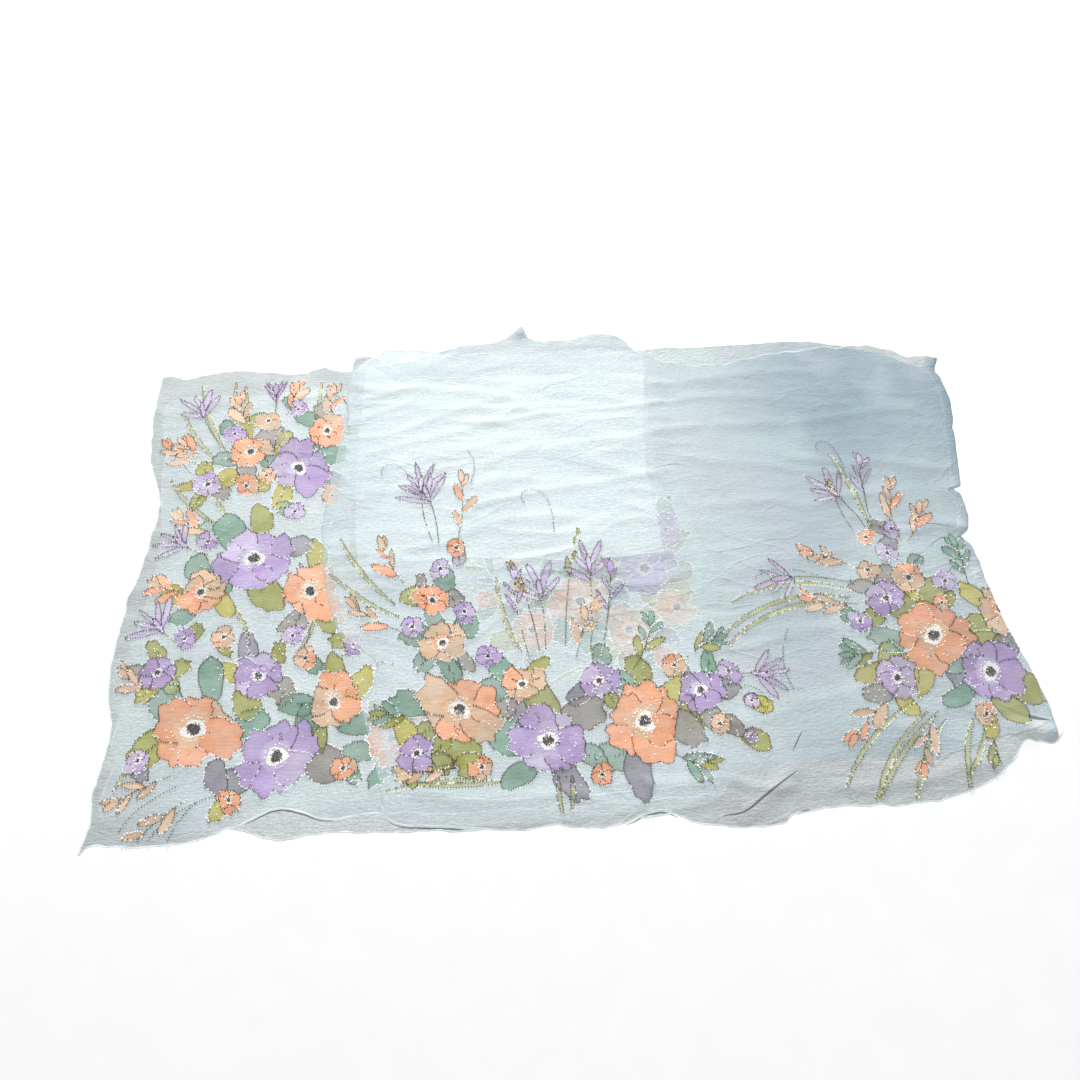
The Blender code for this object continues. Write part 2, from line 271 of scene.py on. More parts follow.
LOOPS = {
    "lower": loop_of(LOWER_LEFT, LOWER_RIGHT, LOWER_BOTTOM, LOWER_TOP),
    "end": loop_of(END_LEFT, TURN_BACK, END_BOTTOM, END_TOP),
    "hidden": loop_of(HIDDEN_LEFT, HIDDEN_RIGHT, HIDDEN_BOTTOM, HIDDEN_TOP),
    "top": loop_of(TOP_LEFT, TOP_RIGHT, TOP_BOTTOM, TOP_TOP),
}
INSIDE = {name: distance_raster(loop) for name, loop in LOOPS.items()}


def inside(name, x, y):
    """How far inside a stretch's outline these points lie, below 0 outside it."""
    return look_up(INSIDE[name], COARSE, x, y)


print("raster cells:", INSIDE["top"].size)

# %% [markdown]
# Crinkled chiffon has long soft ridges along its length, a few millimetres apart, that wander and
# meet. A ridge line is where a drifting value passes through zero, so one minus its size has a sharp
# crest there. Three sizes of such ridges are laid over each other, and the few large folds of the
# photograph are put in on top of them, as rows of a table.

# %% Crinkles and large folds
# length along the cloth, spacing across it, height
CRINKLES = [(120, 17, 0.34), (60, 9, 0.20), (30, 5, 0.10)]
BILLOWS = (105, 30, 1.6)
PUCKER = 0.8  # height of the small waves at a hem
PUCKER_REACH = 7.0  # distance over which they die away
BARE_MARGIN = 6.0  # the end stretch is plain to this far past what covers it

# large folds: x and y of one end, x and y of the other, height, half width
END_FOLDS = [
    (-440, 190, -270, 205, 0.9, 9),
    (-425, 150, -300, 140, 0.7, 10),
    (-430, 104, -330, 96, 0.9, 9),
    (-425, 30, -280, 44, 0.8, 10),
    (-430, -38, -300, -30, 0.8, 11),
    (-432, -92, -270, -100, 0.9, 10),
    (-430, -160, -250, -150, 0.7, 11),
    (-438, -215, -240, -222, 0.9, 10),
    (-436, -262, -300, -250, 0.9, 9),
]
TOP_FOLDS = [
    (-215, 205, -60, 192, 1.3, 6.5),
    (-190, 168, 40, 176, 1.0, 5.8),
    (-100, 150, 120, 178, 1.4, 5.0),
    (-160, 120, 20, 112, 1.0, 5.8),
    (-20, 110, 150, 138, 1.3, 5.8),
    (-200, 76, -40, 84, 0.9, 6.5),
    (-90, 54, 110, 78, 1.3, 5.8),
    (-150, 22, 60, 34, 0.9, 6.5),
    (-215, -20, -40, -36, 0.8, 7.2),
    (-60, -60, 120, -40, 0.8, 7.2),
    (110, 208, 300, 214, 1.2, 5.8),
    (150, 186, 330, 168, 0.9, 6.5),
    (170, 140, 400, 156, 1.1, 6.5),
    (140, 96, 300, 84, 1.0, 6.5),
    (250, 104, 425, 72, 1.2, 6.5),
    (160, 36, 360, 50, 0.9, 7.2),
    (300, 14, 418, -4, 1.3, 5.8),
    (170, -30, 330, -22, 0.8, 7.2),
    (150, -120, 300, -104, 0.9, 7.9),
    (140, -196, 270, -176, 1.0, 7.2),
    (300, -206, 420, -190, 0.9, 7.2),
    (-160, -252, 20, -262, 1.2, 5.8),
    (60, -248, 190, -258, 1.2, 5.8),
    (230, -262, 380, -246, 1.0, 5.8),
]
END_PEAKS = [(-35, 292, -37, 285, 5.0, 9)]
TOP_PEAKS = [
    (452, -224, 414, -214, 7.0, 10),
    (195, -244, 152, -280, 2.2, 9),
    (440, 54, 404, 46, 2.0, 9),
    (436, -4, 400, 2, 2.5, 9),
]

# %% [markdown]
# Ridges, billows and puckers
#
# A ridge of any size is a height that falls off to both sides of a line. Billows are the wide swells that
# chiffon keeps when it is smoothed down over other layers, and puckers are the small waves at a hem,
# which is a little shorter than the cloth that it holds.


# %% Ridges
def folds(x, y, rows, seed=None):
    """The height of soft ridges: a bell-shaped section carried along each row's line. With a seed, the
    lines wander, as the place they are looked up at drifts."""
    total = np.zeros_like(x)
    if seed is not None:
        x, y = x + 9 * drift(x, y, 50, 34, seed), y + 9 * drift(x, y, 46, 60, seed + 1)
    for x0, y0, x1, y1, height, half_width in rows:
        dx, dy = x1 - x0, y1 - y0
        t = np.clip(((x - x0) * dx + (y - y0) * dy) / (dx * dx + dy * dy), 0, 1)
        away = np.hypot(x - x0 - t * dx, y - y0 - t * dy)
        total = np.maximum(total, height * np.exp(-((away / half_width) ** 2)))
    return total


def crinkled(x, y, seed, much=1.0):
    """Crepe ridges: for each size, height times (1 minus twice the size of a drifting value), looked up
    at a place that itself wanders, so that the ridges bend and meet."""
    bent = y + 11 * drift(x, y, 90, 60, seed) + 4 * drift(x, y, 30, 24, seed + 1)
    total = np.zeros_like(x)
    for order, (length, spacing, height) in enumerate(CRINKLES):
        total += height * (0.5 - 2 * np.abs(drift(x, bent, length, spacing, seed + 10 * order)))
    patchy = 0.75 + 0.5 * drift(x, y, 75, 60, seed + 5)
    return much * total * patchy


def billows(x, y, seed):
    """Soft wide folds: the smaller of two sets of ridges, one slanted up and one down, each the size of
    a drifting value. They are deep in the middle of the stole and slight at the right and along its
    lower edge, where it was smoothed flat."""
    length, spacing, height = BILLOWS
    wander = 18 * drift(x, y, 90, 70, seed)
    rising = np.abs(drift(x + 0.3 * y, y - 0.26 * x + wander, length, spacing, seed + 1))
    falling = np.abs(drift(x - 0.3 * y, y + 0.16 * x + wander, length, 0.8 * spacing, seed + 2))
    ridge = 1.15 - 1.9 * np.minimum(rising, falling + 0.08)
    deep = 0.28 + 0.58 * ease((190 - x) / 90) * ease((y + 170) / 120) - 0.16 * ease((-190 - y) / 40)
    return height * ridge * deep


def puckers(name, x, y, seed):
    """Small waves that a rolled hem draws the cloth into: a drifting value that dies away with the
    distance from the edge."""
    return PUCKER * drift(x, y, 8, 8, seed) * np.exp(-np.maximum(inside(name, x, y), 0) / PUCKER_REACH)


# %% [markdown]
# The layers on each other
#
# The layers are stacked from the floor up: each carries the next at the height of one wall and a small
# gap, and crinkles, billows and large folds are added to that. A covered layer stays a little below the
# one above it, so that paint and beads have room between them.


# %% Heights
def step_over(distance, slope=SLOPE):
    """1 over a layer and just past its edge, easing to 0 further out."""
    return ease((distance + COVER + slope) / slope)


def over_doubled(x, y, slope=DOUBLED_SLOPE):
    """1 over the turned-over part of the hidden folds, easing to 0 round it."""
    low = np.minimum(x - DOUBLED_X[0], y - DOUBLED_Y[0])
    high = np.minimum(DOUBLED_X[1] - x, DOUBLED_Y[1] - y)
    return ease(np.minimum(low, high) / slope + 1)


plan_x, plan_y = np.meshgrid(*plan_axes(FINE))
layer = WALL + GAP
on_lower = layer * step_over(inside("lower", plan_x, plan_y))
on_end = on_lower + layer * step_over(inside("end", plan_x, plan_y))
on_hidden = on_end + layer * step_over(inside("hidden", plan_x, plan_y), FOLD_SLOPE)
lift = DOUBLED * over_doubled(plan_x, plan_y)
bare = ease((-inside("top", plan_x, plan_y) - BARE_MARGIN) / (3 * BARE_MARGIN))
# each layer has its own seed, and its own strength of crinkles
HEIGHT = {
    "lower": WALL + crinkled(plan_x, plan_y, 11, 0.35) - 0.1,
    "end": WALL + on_lower + folds(plan_x, plan_y, END_FOLDS, 63) * bare * 1.1,
    "hidden": WALL + on_end + crinkled(plan_x, plan_y, 31, 0.35),
    "doubled": WALL + on_end + lift + crinkled(plan_x, plan_y, 41, 0.35),
    "top": WALL + on_hidden + lift + folds(plan_x, plan_y, TOP_FOLDS, 61) * 1.5,
}
HEIGHT["end"] += crinkled(plan_x, plan_y, 21, 0.4 + 0.4 * bare) + folds(plan_x, plan_y, END_PEAKS)
HEIGHT["end"] += 0.5 * bare * billows(plan_x, plan_y, 76)
HEIGHT["top"] += crinkled(plan_x, plan_y, 51, 1.3) + folds(plan_x, plan_y, TOP_PEAKS)
for order, name in enumerate(LOOPS):
    HEIGHT[name] += puckers(name, plan_x, plan_y, 81 + order)
together = billows(plan_x, plan_y, 71)
for name in ("hidden", "doubled", "top"):
    HEIGHT[name] += together
for name in ("hidden", "doubled"):
    HEIGHT[name] = np.minimum(HEIGHT[name], HEIGHT["top"] - CLEARANCE)
HEIGHT["end"] = np.where(bare > 0, HEIGHT["end"], np.minimum(HEIGHT["end"], HEIGHT["hidden"] - CLEARANCE))


def height(name, x, y):
    """Height of a layer's surface at these points."""
    return look_up(HEIGHT[name], FINE, x, y)


print("top layer stands", round(float(HEIGHT["top"].max()), 1), "mm at most")

# %% [markdown]
# Shader maths as expressions
#
# A cloth shader mixes a few soft patterns. Written as sums and products of values it reads like the
# idea behind it, so one small class stands for the value on a socket and adds the Math nodes.


# %% Bench and wire
class Wire:
    """The value on one socket. Plus, minus and times, with a number or another wire, add Math nodes."""

    def __init__(self, bench, socket):
        self.bench, self.socket = bench, socket

    def _with(self, operation, first, second):
        """Adds one Math node on two values."""
        return self.bench.add("ShaderNodeMath", {"operation": operation}, {0: first, 1: second})

    def __add__(self, other):
        return self._with("ADD", self, other)

    def __sub__(self, other):
        return self._with("SUBTRACT", self, other)

    def __rsub__(self, other):
        return self._with("SUBTRACT", other, self)

    def __mul__(self, other):
        return self._with("MULTIPLY", self, other)

    __radd__ = __add__
    __rmul__ = __mul__


class Bench:
    """One material's node tree, built by naming node types, settings and socket values."""

    def __init__(self, name):
        self.material = bpy.data.materials.new(name)
        self.material.use_nodes = True
        self.tree = self.material.node_tree
        self.tree.nodes.clear()

    def add(self, kind, settings=None, values=None, out=0):
        """Adds one node, with its settings, then its sockets' values or wires. Gives the wire of one
        output, or nothing where out is None."""
        node = self.tree.nodes.new(kind)
        for key, value in (settings or {}).items():
            setattr(node, key, value)
        for key, value in (values or {}).items():
            if isinstance(value, Wire):
                self.tree.links.new(value.socket, node.inputs[key])
            else:
                node.inputs[key].default_value = value
        return None if out is None else Wire(self, node.outputs[out])

    def blend(self, factor, first, second, how="MIX"):
        """The first colour where the factor is 0 and the second where it is 1."""
        settings = {"data_type": "RGBA", "blend_type": how, "clamp_factor": True}
        return self.add("ShaderNodeMix", settings, {0: factor, 6: first, 7: second}, 2)

    def place(self, stretch=(1, 1, 1), turn=0.0):
        """The place on the piece, turned about the upright axis and then stretched."""
        spot = self.add("ShaderNodeTexCoord", out="Object")
        if turn:
            spot = self.add("ShaderNodeMapping", {}, {"Vector": spot, "Rotation": (0, 0, turn)})
        return self.add("ShaderNodeMapping", {}, {"Vector": spot, "Scale": stretch})

    def noise(self, scale, stretch=(1, 1, 1), detail=2.0, rough=0.5, turn=0.0):
        """Soft noise from 0 to 1; scale is in features to a metre."""
        values = {"Vector": self.place(stretch, turn), "Scale": scale, "Detail": detail, "Roughness": rough}
        return self.add("ShaderNodeTexNoise", {"noise_dimensions": "3D"}, values)

    def ranged(self, wire, low, high, to_low=0.0, to_high=1.0):
        """The wire's values from low to high spread over another range, and held at its ends."""
        values = {"Value": wire, "From Min": low, "From Max": high, "To Min": to_low, "To Max": to_high}
        return self.add("ShaderNodeMapRange", {"clamp": True}, values)

    def crease(self, scale, level, width, turn):
        """Thin wandering lines: 1 where a noise, drawn out along the cloth and turned a little, passes
        the given level."""
        away = self.noise(scale, (0.42, 1.5, 1), 3, 0.5, turn) - level
        size = self.add("ShaderNodeMath", {"operation": "ABSOLUTE"}, {0: away})
        return self.ranged(size, 0.0, width, 1.0, 0.0)

    def read(self, name, out="Color"):
        """What the piece's points carry under a name: a colour, or a value with out='Fac'."""
        return self.add("ShaderNodeAttribute", {"attribute_name": name}, out=out)

    def bump(self, wire, depth, strength=1.0, normal=None):
        """A bump of this depth in metres, on top of an earlier one."""
        values = {"Height": wire, "Distance": depth, "Strength": strength}
        if normal is not None:
            values["Normal"] = normal
        return self.add("ShaderNodeBump", {}, values)

    def finish(self, **sockets):
        """Closes the tree with the cloth, paint or bead shader; names are its sockets with _ for spaces."""
        values = {key.replace("_", " "): value for key, value in sockets.items()}
        shader = self.add("ShaderNodeBsdfPrincipled", {}, values)
        self.add("ShaderNodeOutputMaterial", {}, {"Surface": shader}, None)
        return self.material


# %% [markdown]
# Chiffon
#
# Chiffon is sheer: some of the light comes through from what lies below. That is the shader's alpha.
# Where a stretch lies alone on the surface it is drawn greyer and closer, since nothing pale lies
# under it. The crepe yarn gives a fine grain, from a bump, and the dye is a little uneven.


# %% The cloth shader
def chiffon(name, tint, cool, clear, bare_tint=(0.50, 0.53, 0.53), grain=1.0, creased=0.3):
    """Cloth colour: tint drifting towards a cooler one, paler where 'halo' says that paint or more
    layers are near, and the bare tint where 'bare' is 1. Alpha is 1 - clear, closer where 'alone' is 1
    and along yarns. Grain scales the bumps of yarn, warp and crepe, and creased scales thin crease
    lines, which come in patches: a bump, and a painted shade that darkens the colour along them."""
    bench = Bench(name)
    alone, bare = bench.read("alone", "Fac"), bench.read("bare", "Fac")
    dye = bench.ranged(bench.noise(7, (1, 1.6, 1), 3), 0.38, 0.66)  # uneven dyeing
    cooler = bench.ranged(bench.read("cool", "Fac") + dye * 0.14, 0.04, 1.08)
    colour = bench.blend(cooler, (*tint, 1), (*cool, 1))
    # soft clouds of a greener and a redder blue
    mint = bench.ranged(bench.noise(9, (1, 1.5, 1), 2), 0.50, 0.66, 0.0, 0.30)
    lilac = bench.ranged(bench.noise(12, (1.3, 1, 1), 2), 0.52, 0.68, 0.0, 0.26)
    colour = bench.blend(mint, colour, (0.60, 0.80, 0.75, 1))
    colour = bench.blend(lilac, colour, (0.64, 0.64, 0.76, 1))
    colour = bench.blend(bare, colour, (*bare_tint, 1))
    colour = bench.blend(bench.read("halo", "Fac") * 0.5, colour, (0.83, 0.92, 0.93, 1))
    # yarns a little darker, and thin crease lines in patches, whose darker colour is painted shade
    yarn = bench.noise(560, (0.6, 1.4, 1), 2, 0.6)
    colour = bench.blend(bench.ranged(yarn, 0.42, 0.58, 0.0, 0.36), colour, (0.36, 0.42, 0.46, 1))
    patch = bench.ranged(bench.noise(8), 0.44, 0.60)
    lines = (bench.crease(13, 0.5, 0.030, 0.30) + bench.crease(17, 0.52, 0.030, -0.26)) * patch
    colour = bench.blend(lines * (0.10 * creased), colour, (0.42, 0.43, 0.52, 1))
    crepe = bench.noise(330, (0.5, 1.4, 1), 3, 0.7)
    warp = bench.noise(420, (1.6, 0.25, 1), 2, 0.6)
    bump = bench.bump(yarn, 0.0007 * grain, 0.4)
    bump = bench.bump(warp, 0.0008 * grain, 0.4, bump)
    bump = bench.bump(crepe, 0.0020 * grain, 0.6, bump)
    bump = bench.bump(lines, 0.0010 * creased, 0.5, bump)
    alpha = (1 - clear) + alone * (clear - 0.06) + (yarn - 0.5) * 0.12
    return bench.finish(
        Base_Color=colour, Roughness=0.72, Alpha=alpha, Normal=bump, Sheen_Weight=0.15, Sheen_Roughness=0.4
    )


# %% [markdown]
# Pieces from arrays
#
# Every piece is made the same way: an array of points and an array of faces go into a mesh at once, and
# what its shader has to know per point, such as how much paint lies there, goes in as attributes.


# %% Pieces
def mesh_piece(name, verts, faces, material, values=None, colours=None):
    """A smooth piece from arrays: points in millimetres, faces, and values or colours per point."""
    mesh = bpy.data.meshes.new(name)
    rows = faces if isinstance(faces, list) else faces.tolist()
    mesh.from_pydata((np.asarray(verts) * MM).tolist(), [], rows)
    for key, column in (values or {}).items():
        mesh.attributes.new(key, "FLOAT", "POINT").data.foreach_set("value", np.ravel(column))
    for key, rows in (colours or {}).items():
        four = np.column_stack([rows, np.ones(len(rows))]).astype(np.float32)
        mesh.color_attributes.new(key, "FLOAT_COLOR", "POINT").data.foreach_set("color", four.ravel())
    mesh.materials.append(material)
    mesh.polygons.foreach_set("use_smooth", np.full(len(mesh.polygons), True))
    made = bpy.data.objects.new(name, mesh)
    bpy.context.scene.collection.objects.link(made)
    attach(made, "root")
    print(name, len(mesh.polygons), "faces")
    return made


def grid_faces(rows, columns):
    """Four-sided faces over a grid of points, facing up where columns run along x and rows along y."""
    index = np.arange(rows * columns).reshape(rows, columns)
    corners = (index[:-1, :-1], index[:-1, 1:], index[1:, 1:], index[1:, :-1])
    return np.stack(corners, -1).reshape(-1, 4)


def let_light_through(piece):
    """Sheer cloth dims what lies below it very little, so it takes no part in shadows and bounces."""
    piece.visible_shadow = False
    piece.visible_diffuse = False


# %% [markdown]
# Painted flowers and leaves
#
# The cloth is painted by hand: loose anemones, round leaves, small florets, lavender and grasses, in
# peach, lilac and greens, each edged with beads. Every petal or leaf is one blot of paint: a closed
# outline round a middle, as a stretched circle with a taper, a point and a few waves. All blots of a
# panel are worked out together as arrays and laid on the cloth's own height, so paint and cloth bend
# as one. The layout is a free one, with its own flowers in its own places.

# %% Paint pots
# pots of paint: body colour, and deep colour where the paint has pooled
PAINTS = {
    "peach": ((0.79, 0.335, 0.165), (0.69, 0.21, 0.085)),
    "apricot": ((0.66, 0.43, 0.265), (0.56, 0.32, 0.17)),
    "lilac": ((0.39, 0.27, 0.54), (0.30, 0.19, 0.43)),
    "mauve": ((0.49, 0.405, 0.60), (0.385, 0.29, 0.49)),
    "green": ((0.145, 0.29, 0.205), (0.085, 0.20, 0.135)),
    "sage": ((0.21, 0.32, 0.255), (0.13, 0.23, 0.175)),
    "olive": ((0.29, 0.295, 0.02), (0.20, 0.20, 0.01)),
    "mustard": ((0.42, 0.37, 0.025), (0.31, 0.26, 0.012)),
    "grey": ((0.21, 0.195, 0.235), (0.14, 0.13, 0.16)),
    "taupe": ((0.26, 0.23, 0.20), (0.18, 0.155, 0.13)),
    "cream": ((0.84, 0.84, 0.80), (0.74, 0.74, 0.68)),
    "straw": ((0.50, 0.51, 0.24), (0.38, 0.39, 0.13)),
    "soot": ((0.05, 0.05, 0.055), (0.03, 0.03, 0.032)),
}
POTS = list(PAINTS)
print("pots of paint:", ", ".join(POTS))
BODY = np.array([PAINTS[p][0] for p in POTS])
DEEP = np.array([PAINTS[p][1] for p in POTS])

# %% [markdown]
# Blots
#
# A brush leaves a petal as one loose shape. So a blot is a stretched circle that is swollen by a few
# waves, narrower towards its foot, and more or less pointed. All its settings are one row of a table, so
# that hundreds of outlines are worked out in one step.

# %% Blots
BLOT = np.dtype([(k, float) for k in "x y long wide turn egg point level paint wave frill beads".split()])


def blots(x, y, long, wide, turn, paint, egg=0.0, point=1.0, level=0.0, wave=1.0, frill=0.0, beads=1.0):
    """Rows of blots from columns; turn is in radians and paint is a pot's name or number."""
    pot = POTS.index(paint) if isinstance(paint, str) else paint
    columns = np.broadcast_arrays(x, y, long, wide, turn, egg, point, level, pot, wave, frill, beads)
    made = np.empty(columns[0].size, BLOT)
    for name, column in zip(BLOT.names, columns):
        made[name] = np.ravel(column)
    return made


def outlines(rows, spokes, seed):
    """Outline of every blot: x' = long cos t, y' = wide sin t to the power 'point', tapered by
    1 + egg cos t. Both are swollen by a few sine waves, and a frilled blot also has small scallops and
    one notch on its outer half. Then it is turned and moved into place."""
    rng = np.random.default_rng(seed)
    phase = rng.uniform(0, 2 * np.pi, (len(rows), 5, 1))
    notch_at = rng.uniform(-0.5, 0.5, (len(rows), 1))
    t = np.linspace(0, 2 * np.pi, spokes, endpoint=False)[None]
    swell = 0.06 * np.sin(2 * t + phase[:, 0]) + 0.055 * np.sin(3 * t + phase[:, 1])
    swell = rows["wave"][:, None] * (swell + 0.035 * np.sin(5 * t + phase[:, 2]))
    outer = ease(np.cos(t) * 1.4 + 0.2)
    scallops = 0.075 * np.sin(7 * t + phase[:, 3]) + 0.055 * np.sin(11 * t + phase[:, 4])
    from_tip = np.angle(np.exp(1j * (t - notch_at)))
    scallops = scallops - 0.17 * np.exp(-((from_tip / 0.2) ** 2))
    swell = 1 + swell + rows["frill"][:, None] * outer * scallops
    along = rows["long"][:, None] * np.sign(np.cos(t)) * np.abs(np.cos(t)) ** 0.9 * swell
    across = np.sign(np.sin(t)) * np.abs(np.sin(t)) ** rows["point"][:, None]
    across = rows["wide"][:, None] * across * (1 + rows["egg"][:, None] * np.cos(t)) * swell
    c, s = np.cos(rows["turn"])[:, None], np.sin(rows["turn"])[:, None]
    x = rows["x"][:, None] + c * along - s * across
    return np.stack([x, rows["y"][:, None] + s * along + c * across], -1)


# %% [markdown]
# Flowers and leaves
#
# An anemone has five or six broad petals that overlap. Each is one blot, turned about the middle of the
# flower, and a pale eye with a dark heart lies on top. Leaves look out from under the flower, and where
# too many would lie on each other, some are left out.

# %% Flowers and leaves
SISTER = {"peach": "apricot", "apricot": "peach", "lilac": "mauve", "mauve": "lilac"}
INNER_RING = 22  # flowers larger than this have an inner ring of petals
SEEDS = 0.14  # radius of the dark seeds in a flower's eye, as a share of the flower's
PALE_EYE = 0.25  # and of the pale eye round them
LEANING = 0.24  # how much shorter a flower is across its lean
SISTER_SHARE = 0.25  # share of petals in the sister colour


def flower(x, y, radius, petals, turn, paint, level, rng):
    """Broad frilled petals round an eye, of uneven length, seen a little from one side: reach falls off
    across the axis it leans on. Big flowers have a second, inner ring of petals in a sister colour."""
    k = np.arange(petals)
    lean = rng.uniform(0, np.pi)
    angle = np.radians(turn) + 2 * np.pi * k / petals + rng.uniform(-0.2, 0.2, petals)
    flat = 1 - LEANING * np.abs(np.sin(angle - lean))
    big = radius * rng.uniform(0.86, 1.14, petals) * flat
    wide = 0.47 * radius * (5 / petals) ** 0.8 * rng.uniform(0.86, 1.14, petals)
    step = level + 0.35 * (k % 3)
    sisters = rng.uniform(size=petals) < SISTER_SHARE
    pots = np.where(sisters, POTS.index(SISTER[paint]), POTS.index(paint))
    rows = [blots(
        x + 0.50 * big * np.cos(angle), y + 0.50 * big * np.sin(angle), 0.53 * big, wide, angle, pots,
        0.34, 0.92, step, 0.9, 1.0,
    )]
    if radius > INNER_RING:
        inner = angle[: petals - 2] + np.pi / petals
        near = 0.36 * radius * rng.uniform(0.85, 1.1, len(inner))
        rows.append(blots(
            x + 0.62 * near * np.cos(inner), y + 0.62 * near * np.sin(inner), 0.62 * near, 0.55 * near, inner,
            SISTER[paint], 0.3, 0.95, level + 1.1, 1.1, 0.8, 0,
        ))
    eye = blots(x, y, PALE_EYE * radius, 0.20 * radius, lean, "cream", level=level + 1.3, wave=1.8, beads=0)
    seeds = blots(x, y, SEEDS * radius, 0.11 * radius, lean, "soot", level=level + 1.5, wave=2.0, beads=0)
    return rows + [eye, seeds]


LEAF_ROOM = 15.0  # least distance between the middles of two leaves
LOWEST_LEAF, LEAF_STEP = -2.9, 0.7  # levels of leaves, four in all
LEAF_POTS = [POTS.index(p) for p in ("green", "sage", "olive", "mustard", "taupe", "green", "grey", "olive")]


def leaves_about(x, y, radius, count, rng):
    """Scalloped leaves that look out from under a flower, at even angles shaken a little. Neighbours
    get different levels, so that no two share a height where they cross."""
    angle = rng.uniform(0, 2 * np.pi) + 2 * np.pi * np.arange(count) / count + rng.uniform(-0.35, 0.35, count)
    reach = radius * rng.uniform(0.95, 1.2, count)
    long = rng.uniform(15, 22, count) * np.clip(radius / 28, 0.7, 1.15)
    wide = long * rng.uniform(0.48, 0.78, count)
    turn, pots = angle + rng.uniform(-0.6, 0.6, count), rng.choice(LEAF_POTS, count)
    point = rng.choice([0.95, 1.0, 1.15], count)
    level = LOWEST_LEAF + LEAF_STEP * ((np.arange(count) + rng.integers(4)) % 4)
    frill = rng.choice([0.2, 0.8, 1.1], count)
    x, y = x + reach * np.cos(angle), y + reach * np.sin(angle)
    return blots(x, y, long, wide, turn, pots, -0.05, point, level, 1.1, frill)


def thinned(leaves):
    """Leaves without those whose middle lies closer than LEAF_ROOM mm to an earlier one's."""
    far = np.hypot(*(leaves[key][:, None] - leaves[key][None] for key in "xy"))
    kept = []
    for row in range(len(leaves)):
        if (far[row, kept] > LEAF_ROOM).all():
            kept.append(row)
    return leaves[kept]


# %% [markdown]
# Stems
#
# A stem is drawn in one sweep of a fine brush: a path whose heading turns steadily along its length, and
# for a curl ever faster. Lavender, spikes and leafy sprigs differ only in where their small blots sit and
# how far they lean out, so one table and one function serve them all.


# %% Stems and sprigs
def path_of(x, y, heading, length, bend, curl=0.0, steps=60):
    """A stem: its heading turns by bend over its length, and by curl with the cube of it."""
    s = np.linspace(0, 1, steps)
    way = np.radians(heading + bend * s + curl * s**3)
    ds = length / (steps - 1)
    step = np.column_stack([np.cos(way), np.sin(way)]) * ds
    points = np.array([x, y]) + np.vstack([[0, 0], np.cumsum(step[:-1], 0)])
    return points, way


# kind: small blots along the stem as first, step, size and how far they lean out, pots, and width of
# the stem's own paint
SPRIGS = {
    "lavender": (0.80, 0.045, 14.0, 0.80, ("mauve",), 1.2),
    "spike": (0.50, 0.11, 11.0, 0.50, ("lilac", "mauve"), 1.2),
    "leafy": (0.22, 0.20, 11.0, 0.46, ("apricot", "peach", "apricot"), 1.2),
    "green": (0.25, 0.15, 11.0, 0.60, ("sage", "olive", "green"), 1.2),
    "blade": (None, None, None, None, ("straw",), 4.6),
    "buds": (0.62, 0.13, 7.5, 0.22, ("mustard", "olive"), 1.2),
    "curl": (None, None, None, None, (), 0.0),
}


def sprig(kind, x, y, heading, length, bend, curl, rng):
    """A stem with small pointed blots to its left and right in turn, smaller towards its tip. Gives the
    blots, the painted stem as (path, widths), and the paths for beads with whether they are all dark.
    Along a blade beads run at both edges."""
    first, step, size, out, pots, width = SPRIGS[kind]
    path, way = path_of(x, y, heading, length, bend, curl)
    rows = []
    slender = kind in ("lavender", "spike")
    if first is not None:
        at = np.arange(first, 1.0, step)
        side = np.where(np.arange(len(at)) % 2 == 0, 1.0, -1.0)
        upward = (at - first) / (1 - first)
        smaller = 0.1 if kind == "lavender" else 0.45
        big = size * (1.15 - smaller * upward) * rng.uniform(0.8, 1.2, len(at))
        index = np.arange(len(path))
        px, py, heads = (np.interp(at * (len(path) - 1), index, row) for row in (*path.T, way))
        spread = 1.3 - 1.1 * upward if kind == "lavender" else rng.uniform(0.7, 1.3, len(at))
        lean = heads + side * out * spread
        pots = rng.choice([POTS.index(p) for p in pots], len(at))
        slim = big * rng.uniform(0.26, 0.40, len(at)) * (0.54 if slender else 1.0)
        level = -0.6 + 0.1 * np.arange(len(at))
        sewn = 2.0 if slender else 1.0
        px, py = px + big * np.cos(lean), py + big * np.sin(lean)
        rows = [blots(px, py, big, slim, lean, pots, 0.1, 1.2, level, 0.9, 0.0, sewn)]
        tip = 0.75 * size
        slim_tip = tip * (0.25 if kind == "lavender" else 0.42)
        rows += [blots(*path[-1], tip, slim_tip, way[-1], pots[-1], 0, 1.2, 0.6, 0.7, 0.0, sewn)]
    share = np.linspace(0, 1, len(path))
    widths = width * (0.30 + 0.70 * np.sin(np.pi * share) ** 0.8) if width else None
    lines = [(path, kind == "curl")]
    if kind == "blade":
        side = np.column_stack([-np.sin(way), np.cos(way)]) * widths[:, None] / 2
        lines = [(path - side, False), (path + side, False)]
    return rows, (path, widths), lines


# %% [markdown]
# A posy is a table of flowers, florets and sprigs on one stretch. The leaves come by themselves from
# under the flowers. Rows are x, y, radius, petals, turn and paint for flowers, x, y, radius and paint
# for florets, and kind, x, y, heading, length, bend and curl for sprigs.

